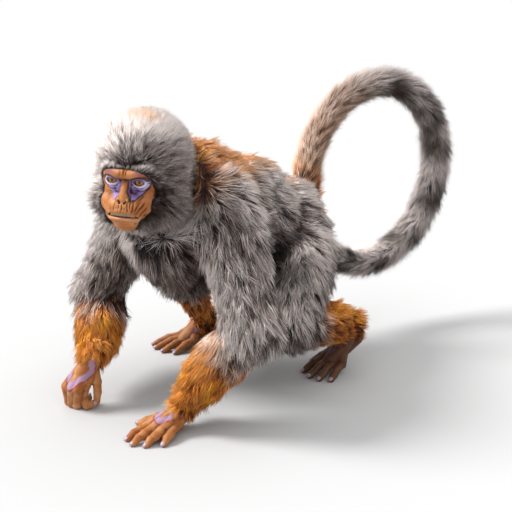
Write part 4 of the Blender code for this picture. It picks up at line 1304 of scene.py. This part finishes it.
# %% The coat grows
def grow(name, count, kinds, half):
    """One piece of the coat, and its tufts' properties at every point."""
    coat = SHORT_COAT if name in SHORT_COATS else LONG_COAT
    triangles, chosen, weights = roots_for(kinds, half, count)

    def at_roots(values):
        return blend_at(values, triangles, chosen, weights)

    root = at_roots(skin_points)
    up = unit(at_roots(skin_normals))
    along = at_roots(lie)
    along = unit(along - (along * up).sum(axis=1, keepdims=True) * up)
    long = at_roots(length) * dice.uniform(*LENGTHS, count)
    centres, clump = clump_of(root, max(2, count // TUFTS_IN_CLUMP))
    clump_swing = dice.normal(0, CLUMP_SWING, len(centres))[clump]
    along = turned(along, up, clump_swing + dice.normal(0, TUFT_SWING, count))
    from_centre = np.linalg.norm(root - root[centres][clump], axis=1)
    ridge = 0.5 - from_centre / max(np.percentile(from_centre, 90), SAME_POINT)
    clump_height = dice.uniform(coat["lowest"], HIGHEST_CLUMP, len(centres))[clump]
    height_share = dice.uniform(*HEIGHTS, count) * clump_height * (1 + coat["ridge_height"] * ridge)
    strays = dice.random(count) < coat["strays"]
    height_share[strays] += dice.uniform(*STRAY_HEIGHTS, count)[strays]
    height = at_roots(depth) * height_share * (TAIL_FLUFF if name == "coat_tail" else 1.0)
    lift = np.arcsin(np.clip(height / long, *RISE))

    def rising(angle):
        return (along * np.cos(angle)[:, None] + up * np.sin(angle)[:, None]) * long[:, None]

    tip = root + rising(lift)
    clump_tip = tip[centres][clump] + (root - root[centres][clump]) * TIPS_APART
    pull = dice.uniform(*coat["pull"], count)[:, None]
    pull[strays] *= STRAY_PULL
    tip += (clump_tip - tip) * pull
    knee = root + rising(lift * BEND) * 0.5
    across = unit(np.cross(up, tip - root))
    knee += across * (dice.normal(0, WAVE, count) * long)[:, None]
    by_length = np.clip(long / USUAL_LENGTH, *WIDTH_BY_LENGTH)
    width = LOCK_WIDTH * dice.uniform(*WIDTHS, count) * by_length * coat["width"]
    shape, shape_faces = coat["tuft"][2:]
    mesh = tuft_mesh(name, tuft_points(coat, root, knee, tip, across, width), shape_faces)
    clump_tone = dice.normal(0, coat["clump_tone"], len(centres))[clump]
    tone = 0.5 + dice.normal(0, TUFT_TONE, count) + clump_tone
    # Painted light and shade: raised tufts and the middles of clumps are paler and low tufts darker, and the
    # skin's painted light and shade are added to the tone
    raised = np.minimum(height_share - LEVEL_HEIGHT, MOST_RAISED)
    tone = tone + RAISED_TONE * raised + coat["ridge_tone"] * ridge
    tone = np.clip(tone + at_roots(paleness_and_painted_shading), 0.0, 1.0)
    step = shape[:, 2]
    shown = coat["buried"] + (1 - coat["buried"]) * step
    values = {"along": np.tile(shown, count), "tone": np.repeat(tone, len(step))}
    for key, marking in MARKINGS_AND_SHADE.items():
        here = at_roots(marking) + MARKING_NOISE * dice.normal(size=count)
        values[key] = np.repeat(np.clip(here, 0, 1), len(step))
    add_layers(mesh, values)
    add_patches(mesh, root, shape)
    return placed(name, mesh)


coat_pieces = {name: grow(name, *facts) for name, facts in COAT.items()}
print("coat triangles:", sum(len(p.data.polygons) for p in coat_pieces.values()))

# %% [markdown]
# The eyes are balls with a raised cornea. Each is turned to look a little to the monkey's left, and the
# colour rings are worked out from the angle from its axis.

# %% Eyes
GAZE_TURN = math.radians(3)
GAZE_LIFT = 0.02
GAZE = HEAD_ROTATION @ Vector((math.sin(GAZE_TURN), -math.cos(GAZE_TURN), GAZE_LIFT)).normalized()
EYE_SIZE = EYE_RADIUS - 0.0001
CORNEA_BULGE = 0.035  # as a share of the radius
CORNEA_NARROWNESS = 2.2  # how many times over the cornea would fit from the pupil to a quarter turn


def make_eye(side):
    bm = bmesh.new()
    bmesh.ops.create_uvsphere(bm, u_segments=48, v_segments=32, radius=1.0)
    angles = {}
    for vert in bm.verts:
        angle = vert.co.angle(Vector((0, 0, 1)))
        bulge = CORNEA_BULGE * max(0.0, math.cos(min(angle * CORNEA_NARROWNESS, math.pi / 2)))
        vert.co *= EYE_SIZE * (1 + bulge)
        angles[vert.index] = angle
    bm.transform(Matrix.Translation(EYES[side]) @ GAZE.to_track_quat("Z", "Y").to_matrix().to_4x4())
    bm.verts.index_update()
    mesh = mesh_from(bm, "eyeball_" + side)
    mesh.shade_smooth()
    add_layers(mesh, {"ring": [math.degrees(angles[i]) for i in range(len(mesh.vertices))]})
    return placed("eyeball_" + side, mesh)


eyeballs = {side: make_eye(side) for side in EYES}
print("eyes look along", [round(v, 2) for v in GAZE])

# %% Teeth
TOOTH_WIDTHS = (4.2, 3.6, 4.0, 3.4, 3.2)
TOOTH_HEIGHT = 4.6
TOOTH_DEPTH = 2.4
TOOTH_GAP = 0.15
TOOTH_BEVEL = 0.0009
BEHIND_LIP = 3.9
ABOVE_MOUTH_LINE = 0.3


def along_mouth(distance):
    """A place on the mouth line, so many millimetres round it from its middle, and its direction there."""
    points = [p / MM for p in MOUTH_LINE]
    half = points[2:] if distance >= 0 else points[2::-1]
    left = abs(distance)
    for a, b in zip(half, half[1:]):
        size = (b - a).length
        if left <= size or b is half[-1]:
            return a + (b - a) * (left / size), (b - a).normalized()
        left -= size


def make_teeth():
    bm = bmesh.new()
    for side in (-1, 1):
        at = 0.0
        for width in TOOTH_WIDTHS:
            place, way = along_mouth(side * (at + width / 2))
            at += width + TOOTH_GAP
            turn = Matrix.Rotation(math.atan2(side * way.y, side * way.x), 4, "Z")
            centre = Vector((place.x, place.y + BEHIND_LIP, place.z + ABOVE_MOUTH_LINE)) * MM
            made = bmesh.ops.create_cube(bm, size=1.0)["verts"]
            bmesh.ops.scale(bm, vec=mm(width, TOOTH_DEPTH, TOOTH_HEIGHT), verts=made)
            edges = list({e for v in made for e in v.link_edges})
            bevelled = bmesh.ops.bevel(
                bm, geom=edges, offset=TOOTH_BEVEL, offset_type="OFFSET", segments=3, profile=0.5,
                affect="EDGES", material=-1, clamp_overlap=True,
            )
            verts = list({v for f in bevelled["faces"] for v in f.verts} | {v for v in made if v.is_valid})
            bmesh.ops.transform(bm, matrix=HEAD @ Matrix.Translation(centre) @ turn, verts=verts)
    bmesh.ops.recalc_face_normals(bm, faces=bm.faces[:])
    mesh = mesh_from(bm, "teeth")
    mesh.shade_smooth()
    return placed("teeth", mesh)


teeth = make_teeth()
print("teeth:", len(teeth.data.polygons), "faces")

# %% Nails
NAIL_SHAPE = (0.72, 0.95, 0.42)  # half its width, length and thickness, as shares of the tip's radius
NAIL_PLACE = (0.25, 0.62)  # how far beyond the tip's middle and above it, as shares too


def make_nails(owner):
    """A curved plate on the upper side of each fingertip or toe tip."""
    bm = bmesh.new()
    for start, tip, radius, hand in TIPS:
        if hand != owner:
            continue
        way = (tip - start).normalized()
        up = Vector((0, 0, 1)) - way * way.z
        if up.length < 0.3:
            up = way.cross(Vector((1, 0, 0)))
        up.normalize()
        side = way.cross(up)
        frame_matrix = Matrix((side, way, up)).transposed().to_4x4()
        centre = tip + way * radius * NAIL_PLACE[0] + up * radius * NAIL_PLACE[1]
        shape = Matrix.Diagonal((*(radius * share for share in NAIL_SHAPE), 1.0))
        matrix = Matrix.Translation(centre) @ frame_matrix @ shape
        bmesh.ops.create_uvsphere(bm, u_segments=20, v_segments=12, radius=1.0, matrix=matrix)
    for vert in bm.verts:
        vert.co.z = max(vert.co.z, 0.0)
    mesh = mesh_from(bm, "nails_" + owner)
    mesh.shade_smooth()
    return placed("nails_" + owner, mesh)


nails = {owner: make_nails(owner) for owner in bare_parts}
print("nails:", len(TIPS))

# %% [markdown]
# Finishes. Each material is a small graph of nodes that reads the numbers at the points. Under the coat the
# skin is painted near black, as painted shade in the gaps between the tufts, and warmer where the coat is
# orange.

# %% Node helpers
class Graph:
    """A material's nodes, added one by one and linked by name."""

    def __init__(self, tree):
        self.tree = tree

    def node(self, kind, **settings):
        made = self.tree.nodes.new(kind)
        for key, value in settings.items():
            setattr(made, key, value)
        return made

    def link(self, source, target):
        self.tree.links.new(source, target)

    def put(self, socket, value):
        """Links a socket to another, or sets its value."""
        if isinstance(value, bpy.types.NodeSocket):
            self.link(value, socket)
        else:
            socket.default_value = value

    def attribute(self, name):
        return self.node("ShaderNodeAttribute", attribute_name=name).outputs["Fac"]

    def sum(self, kind, a, b):
        made = self.node("ShaderNodeMath", operation=kind)
        self.put(made.inputs[0], a)
        self.put(made.inputs[1], b)
        return made.outputs[0]

    def mix(self, share, a, b):
        made = self.node("ShaderNodeMix", data_type="RGBA")
        self.put(made.inputs["Factor"], share)
        self.put(made.inputs["A"], a)
        self.put(made.inputs["B"], b)
        return made.outputs["Result"]

    def steps(self, value, stops):
        """A colour ramp: (place, colour) pairs."""
        made = self.node("ShaderNodeValToRGB")
        elements = made.color_ramp.elements
        elements[0].position, elements[0].color = stops[0]
        elements[1].position, elements[1].color = stops[-1]
        for place, colour in stops[1:-1]:
            elements.new(place).color = colour
        self.put(made.inputs[0], value)
        return made.outputs["Color"]

    def layered(self, colour, layers):
        """A colour with others over it: (the layer at the points, its strength, its colour)."""
        for name, strength, over in layers:
            colour = self.mix(self.sum("MULTIPLY", self.attribute(name), strength), colour, over)
        return colour

    def noise(self, scale, detail=3.0):
        made = self.node("ShaderNodeTexNoise")
        made.inputs["Scale"].default_value = scale
        made.inputs["Detail"].default_value = detail
        self.link(self.node("ShaderNodeTexCoord").outputs["Object"], made.inputs["Vector"])
        return made.outputs["Fac"]

    def bump(self, height, strength, distance, after=None):
        made = self.node("ShaderNodeBump")
        made.inputs["Strength"].default_value = strength
        made.inputs["Distance"].default_value = distance
        self.put(made.inputs["Height"], height)
        if after is not None:
            self.put(made.inputs["Normal"], after)
        return made.outputs["Normal"]


def rgb(red, green, blue):
    return (red, green, blue, 1.0)


def material(name, roughness, specular=0.5):
    made = bpy.data.materials.new(name)
    made.use_nodes = True
    shader = made.node_tree.nodes["Principled BSDF"]
    shader.inputs["Roughness"].default_value = roughness
    shader.inputs["Specular IOR Level"].default_value = specular
    return made, Graph(made.node_tree), shader

# %% Coat colours
GREYS = [
    (0.0, rgb(0.012, 0.010, 0.010)),
    (0.34, rgb(0.095, 0.083, 0.082)),
    (0.62, rgb(0.38, 0.34, 0.33)),
    (0.95, rgb(1.0, 0.93, 0.91)),
]
ORANGE = rgb(0.50, 0.125, 0.014)
ORANGES = [(0.0, rgb(0.06, 0.012, 0.003)), (0.32, ORANGE), (0.95, rgb(1.0, 0.42, 0.060))]
GOLDS = [(0.0, ORANGE), (0.6, rgb(1.0, 0.46, 0.04))]
GOLDEN_PATCHES = [(0.54, rgb(0, 0, 0)), (0.66, rgb(1, 1, 1))]
TAN = rgb(0.60, 0.36, 0.22)
DARK = rgb(0.012, 0.010, 0.011)


def coat_colour(graph, along):
    """The coat's colour at a share of the way from root to tip."""
    tone = graph.attribute("tone")
    level = graph.sum("ADD", along, graph.sum("MULTIPLY", graph.sum("SUBTRACT", tone, 0.5), 0.9))
    grey = graph.steps(level, GREYS)
    golden = graph.steps(graph.noise(26.0, 2.0), GOLDEN_PATCHES)
    warm = graph.mix(golden, graph.steps(level, ORANGES), graph.steps(level, GOLDS))
    sandy = graph.mix(graph.attribute("tan"), grey, graph.mix(0.55, grey, TAN))
    # darker where the coat is dark or carries painted shade
    shaded = graph.mix(graph.attribute("dark_coat_and_shade"), sandy, graph.mix(0.93, sandy, DARK))
    return graph.mix(graph.attribute("orange"), shaded, warm)


coat_material, graph, shader = material("fur", 0.62, 0.25)
graph.put(shader.inputs["Base Color"], coat_colour(graph, graph.attribute("along")))
for name, piece in coat_pieces.items():
    piece.data.materials.append(coat_material)
    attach(piece, "root")

# %% [markdown]
# Where the skin is bare it has markings of its own: violet round the eyes and down beside the nose, purple
# ends to the brow, and a lilac chevron on the back of each hand and foot with a red line along its edge.
# Creases and hollows are painted darker as painted shade, and so are the skin under the brow, the face's left
# side and the left foot.

# %% Markings of the bare skin
SOCKET_PATCH = [
    (4.6, -1.0), (12, 1.8), (19, 3.6), (27, 3.0), (30.5, -2.0), (28, -9.5), (22, -17.5), (14.5, -25),
    (9.5, -24.5), (5.6, -14),
]
# the line of the painted shadow under the brow
BROW_SHADOW_LINE = [(2.5, -1.0), (7, -0.4), (12, 1.0), (18.5, 2.8), (25, 2.4), (30.5, -0.6)]
CHEVRONS = {  # (the line, a point on its inner side), in the tables' millimetres
    "hand_left": (
        [(50, -52, 44), (41, -66, 36), (42.5, -80, 28), (46, -88, 25.5), (54, -91.5, 26), (64, -78, 30),
         (71.5, -67, 31.5), (72.5, -58, 38)], (58, -68, 36)),
    "hand_right": (
        [(-112, -86, 70), (-111.5, -96, 56), (-108, -104, 46), (-101.5, -110, 39.5), (-95.5, -105.7, 45),
         (-84, -93, 55), (-80.5, -83, 61), (-82, -82, 76)], (-97, -100, 62)),
    "foot_right": ([(-110, 202, 44), (-120, 186, 33), (-134, 198, 42)], (-120, 202, 46)),
    "foot_left": ([(108, 252, 52), (112, 236, 34), (128, 250, 46)], (118, 258, 50)),
}
CHEVRON_HALF = 4.2
CHEVRON_EDGE = 0.9


def inside_outline(points, outline):
    """How far inside a closed outline each flat point is, in mm; below zero outside."""
    outline = np.array(outline, float)
    closed = np.vstack([outline, outline[:1]])
    inside = np.zeros(len(points), bool)
    for a, b in zip(closed, closed[1:]):
        crosses = (a[1] > points[:, 1]) != (b[1] > points[:, 1])
        with np.errstate(divide="ignore", invalid="ignore"):
            at = a[0] + (points[:, 1] - a[1]) / (b[1] - a[1]) * (b[0] - a[0])
        inside ^= crosses & (points[:, 0] < at)
    away = nearest_on_line(points, closed)[0]
    return np.where(inside, away, -away)


def chevron(name):
    """Lilac and red shares for one hand or foot."""
    line, inner = CHEVRONS[name]
    line = np.array(line, float)
    here = labelled(skin_labels, name)
    lilac, red = np.zeros(len(skin_points)), np.zeros(len(skin_points))
    points = in_tables[here]
    away = np.full(len(points), 1e9)
    outer = np.zeros(len(points))
    for a, b in zip(line, line[1:]):
        way = b - a
        t = np.clip((points - a) @ way / (way @ way), 0, 1)[:, None]
        place = a + t * way
        gap = np.linalg.norm(points - place, axis=1)
        side = ((points - place) * (place - np.array(inner))).sum(axis=1)
        closer = gap < away
        outer[closer] = np.sign(side)[closer]
        away[closer] = gap[closer]
    wobble = 0.5 * ripple(points, 9.0, 5)
    lilac[here] = ramp(-away + wobble, -CHEVRON_HALF - 0.5, -CHEVRON_HALF + 0.5)
    edge = bell(away - wobble - CHEVRON_HALF, 0.6, CHEVRON_EDGE) * (outer > 0)
    red[here] = np.clip(edge * 1.4, 0, 1)
    return lilac, red


print("chevrons:", ", ".join(CHEVRONS))

# %% Markings of the face
SLIT_MIDDLE = (0.0, 0.5)  # from the middle of the eye
LIP_BELOW = Vector((0, 0, -4.0))
across_face = np.stack([in_head[:, 0] - NOSE_SHIFT, in_head[:, 2]], axis=1)
folded = np.stack([np.abs(across_face[:, 0]), across_face[:, 1]], axis=1)
patch_depth = inside_outline(folded, SOCKET_PATCH) + 0.5 * ripple(in_head, 8.0, 6)
violet = ramp(patch_depth, -0.9, 0.9) * in_face
left_half = ramp(across_face[:, 0], -2, 6)
beside_eye = np.stack([np.abs(in_head[:, 0]) - EYE_PLACE.x / MM, in_head[:, 2] - EYE_PLACE.z / MM], axis=1)
lid_ring = distance_in(beside_eye, (0, 0), (9.5, 6.5))
below_eye = ramp(-beside_eye[:, 1] + 0.25 * beside_eye[:, 0], -1.5, 3.0)
pale = violet * bell(lid_ring, 0.95, 0.38) * (0.25 + 0.75 * below_eye)
slit = (EYE_SLIT[0] + 0.6, EYE_SLIT[2] + 0.4)
lid_edge = bell(distance_in(beside_eye, SLIT_MIDDLE, slit), 1.0, 0.16) * in_face
# Deeper violet beside the nose is the skin's own colour; on the face's left half, turned away from the key
# lamp, and on its upper lid under the brow, the deeper violet is painted shade
beside_nose = bell(folded[:, 0], 10, 6) * bell(folded[:, 1], -14, 9)
upper_lid = ramp(beside_eye[:, 1], 1.5, 4.0) * left_half
deep_violet_and_shade = violet * np.maximum((0.20 + 0.70 * left_half) * beside_nose, 0.9 * upper_lid)
# The dark edge round the violet patch is the skin's own; it is painted wider and darker on the left half, as
# painted shade on the side away from the key lamp
edge_width = 0.8 + 0.5 * left_half
patch_edge = bell(patch_depth, -0.5, edge_width) * (0.25 + 0.75 * left_half)
from_middle = np.stack([np.abs(in_head[:, 0]), in_head[:, 2]], axis=1)
# Painted shadow under the brow, wider at its inner ends
brow_width = 1.1 + 1.0 * ramp(-from_middle[:, 0], -17, -7)
brow_shadow = bell(nearest_on_line(from_middle, np.array(BROW_SHADOW_LINE))[0], 0.0, brow_width)
# Painted shade: the face's left side, turned away from the key lamp, is darker brown
painted_face_shade = ramp(across_face[:, 0], 2, 34) * in_face
# the maroon edge of the violet patch, with the painted shadow under the brow
maroon_edge_and_brow_shadow = np.maximum(patch_edge, brow_shadow) * in_face
brow_purple = bell(folded[:, 0], 20, 7) * bell(folded[:, 1], 9.5, 3.5) * in_face
lip_line = np.array([p / MM + LIP_BELOW for p in MOUTH_LINE])
lip = bell(nearest_on_line(in_head, lip_line)[0], 0.0, 2.6)
print("violet covers", round(float(violet.mean()), 3))

# %% The skin's layers
lilac, red = np.zeros(len(skin_points)), np.zeros(len(skin_points))
for name in CHEVRONS:
    of_one = chevron(name)
    lilac = np.maximum(lilac, of_one[0])
    red = np.maximum(red, of_one[1])


# Painted shade: the skin is darkened by how deep it lies in a crease or between fingers
def crease_shade():
    """How deep in a crease or between fingers each point lies, from 0 to 1."""
    near = spread(skin_points, skin_edges, 3)
    broad = spread(skin_points, skin_edges, 24)
    small = ((near - skin_points) * skin_normals).sum(axis=1) / MM
    large = ((broad - skin_points) * skin_normals).sum(axis=1) / MM
    fine = np.where(in_face, 6.5, 2.0)
    return np.clip(fine * small, 0, 1) * 0.9 + np.clip(1.3 * large, 0, 1) * 0.6


# Darker skin on the feet, the ears and the hands, with painted shade on the left foot, which lies in the
# shade of its leg
dark_skin_and_shade = 0.8 * labelled(skin_labels, "foot_left") + 0.35 * labelled(skin_labels, "foot_right", "ear")
dark_skin_and_shade = spread(dark_skin_and_shade + 0.10 * labelled(skin_labels, "hand"), skin_edges, 4)
layers = {
    **MARKINGS_AND_SHADE, "bare": bare, "violet": violet, "pale": pale, "brow_purple": brow_purple, "lip": lip,
    "lilac": lilac, "red": red, "hollow": np.clip(crease_shade(), 0, 1), "dark_skin_and_shade": dark_skin_and_shade,
    "lid_edge": lid_edge, "deep_violet_and_shade": deep_violet_and_shade, "maroon_edge_and_brow_shadow": maroon_edge_and_brow_shadow, "painted_face_shade": painted_face_shade,
}
add_layers(skin_mesh, layers)
print("skin layers:", ", ".join(layers))

# %% Skin
TANNED = [(0.32, rgb(0.33, 0.10, 0.022)), (0.50, rgb(0.47, 0.18, 0.05)), (0.68, rgb(0.62, 0.31, 0.13))]
RUDDY = rgb(0.30, 0.085, 0.02)
OVER_TANNED = [
    ("lip", 0.75, rgb(0.68, 0.33, 0.19)),
    ("brow_purple", 0.8, rgb(0.30, 0.12, 0.17)),
    # painted shade on the face's left side
    ("painted_face_shade", 0.6, rgb(0.29, 0.075, 0.014)),
]
VIOLETS = [(0.3, rgb(0.26, 0.18, 0.46)), (0.7, rgb(0.48, 0.40, 0.68))]
# deeper violet beside the nose, and painted shade on the left half and the left upper lid
OVER_VIOLET = [("deep_violet_and_shade", 1.0, rgb(0.15, 0.08, 0.31)), ("pale", 1.0, rgb(0.70, 0.66, 0.83))]
OVER_ALL = [
    # the maroon edge of the violet patch, and painted shadow under the brow
    ("maroon_edge_and_brow_shadow", 0.95, rgb(0.025, 0.006, 0.010)),
    ("lilac", 0.9, rgb(0.40, 0.27, 0.43)),
    ("red", 1.0, rgb(0.34, 0.045, 0.012)),
    # darker skin, with painted shade on the left foot
    ("dark_skin_and_shade", 1.0, rgb(0.035, 0.018, 0.014)),
    # painted shade in creases and between fingers
    ("hollow", 0.95, rgb(0.085, 0.018, 0.006)),
    ("lid_edge", 1.0, rgb(0.012, 0.006, 0.008)),
]
# Painted shade: the skin under the coat is near black, so the gaps between the tufts look shaded; it is
# warmer where the coat is orange
UNDER_GREY, UNDER_ORANGE = rgb(0.03, 0.025, 0.025), rgb(0.10, 0.032, 0.010)
skin_material, graph, shader = material("skin", 0.55, 0.30)
fine = graph.noise(1100.0, 2.0)
grain = graph.noise(260.0, 3.0)
broad = graph.noise(55.0, 4.0)
tanned = graph.mix(graph.sum("MULTIPLY", grain, 0.35), graph.steps(broad, TANNED), RUDDY)
violet_colour = graph.layered(graph.steps(broad, VIOLETS), OVER_VIOLET)
coloured = graph.mix(graph.attribute("violet"), graph.layered(tanned, OVER_TANNED), violet_colour)
coloured = graph.layered(coloured, OVER_ALL)
under_coat_shade = graph.mix(graph.attribute("orange"), UNDER_GREY, UNDER_ORANGE)
graph.put(shader.inputs["Base Color"], graph.mix(graph.attribute("bare"), under_coat_shade, coloured))
pores = graph.bump(fine, 0.30, 0.0005)
graph.put(shader.inputs["Normal"], graph.bump(grain, 0.25, 0.0015, after=pores))
skin_mesh.materials.clear()
skin_mesh.materials.append(skin_material)
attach(skin, "root")
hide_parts(*[name for name in NODES if not name.startswith(("eye_", "teeth"))])

# %% Eyes, teeth and nails
EYE_RINGS = [  # from the pupil outwards, as shares of a quarter turn
    (0.0, rgb(0.004, 0.003, 0.003)),
    (0.075, rgb(0.004, 0.003, 0.003)),
    (0.105, rgb(0.42, 0.13, 0.006)),
    (0.30, rgb(0.85, 0.38, 0.02)),
    (0.36, rgb(0.20, 0.06, 0.01)),
    (0.42, rgb(0.05, 0.025, 0.02)),
    (1.0, rgb(0.10, 0.05, 0.035)),
]
eye_material, graph, shader = material("iris", 0.12, 0.35)
ring = graph.sum("DIVIDE", graph.attribute("ring"), 90.0)
graph.put(shader.inputs["Base Color"], graph.steps(ring, EYE_RINGS))
for side, eye in eyeballs.items():
    eye.data.materials.append(eye_material)
    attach(eye, "root")
    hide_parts("eye_" + side)

tooth_material, graph, shader = material("tooth", 0.3, 0.5)
graph.put(shader.inputs["Base Color"], graph.steps(
    graph.noise(400.0), [(0.3, rgb(0.36, 0.29, 0.17)), (0.7, rgb(0.54, 0.47, 0.33))]))
teeth.data.materials.append(tooth_material)
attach(teeth, "root")
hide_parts("teeth_upper")

nail_material, graph, shader = material("nail", 0.3, 0.5)
graph.put(shader.inputs["Base Color"], graph.steps(
    graph.noise(300.0), [(0.3, rgb(0.30, 0.19, 0.25)), (0.7, rgb(0.46, 0.33, 0.37))]))
for owner, piece in nails.items():
    piece.data.materials.append(nail_material)
    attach(piece, "root")
print("finishes:", len(bpy.data.materials))

# %% Floor and light
FILL = 0.03  # the light from below the horizon
DOME = 1.5  # the light from straight above
BACKDROP = 1.0
DOME_FROM = (-0.1, 0.9)  # the heights between which one turns into the other
FLOOR_RADIUS = 6.0
FLOOR_GREY = 0.50
floor_bm = bmesh.new()
bmesh.ops.create_circle(floor_bm, cap_ends=True, segments=64, radius=FLOOR_RADIUS)
floor = placed("floor", mesh_from(floor_bm, "floor"))
floor_material, graph, shader = material("floor", 0.9, 0.1)
shader.inputs["Base Color"].default_value = rgb(FLOOR_GREY, FLOOR_GREY, FLOOR_GREY)
floor.data.materials.append(floor_material)

world = bpy.data.worlds.new("studio")
bpy.context.scene.world = world
world.use_nodes = True
backdrop = world.node_tree.nodes["Background"]
backdrop.inputs["Color"].default_value = rgb(1.0, 1.0, 1.0)
graph = Graph(world.node_tree)
height = graph.node("ShaderNodeSeparateXYZ")
graph.link(graph.node("ShaderNodeTexCoord").outputs["Generated"], height.inputs["Vector"])
dome = graph.node("ShaderNodeMapRange", interpolation_type="SMOOTHSTEP")
for socket, value in zip(("From Min", "From Max", "To Min", "To Max"), (*DOME_FROM, FILL, DOME)):
    dome.inputs[socket].default_value = value
graph.link(height.outputs["Z"], dome.inputs["Value"])
strength = graph.node("ShaderNodeMix", data_type="FLOAT")
graph.link(graph.node("ShaderNodeLightPath").outputs["Is Camera Ray"], strength.inputs["Factor"])
graph.link(dome.outputs["Result"], strength.inputs["A"])
strength.inputs["B"].default_value = BACKDROP
graph.link(strength.outputs["Result"], backdrop.inputs["Strength"])
bpy.context.scene.view_settings.view_transform = "Standard"


def lamp(name, azimuth, elevation, softness, strength):
    """A far softbox: its light is even over the whole floor, and softness is its width in degrees."""
    light = bpy.data.objects.new(name, bpy.data.lights.new(name, "SUN"))
    light.data.angle = math.radians(softness)
    light.data.energy = strength
    aim(light, AIM + direction(math.radians(azimuth), math.radians(elevation)), AIM)
    bpy.context.scene.collection.objects.link(light)


lamp("key", -56, 45, 22, 3.8)
print("lights are set")
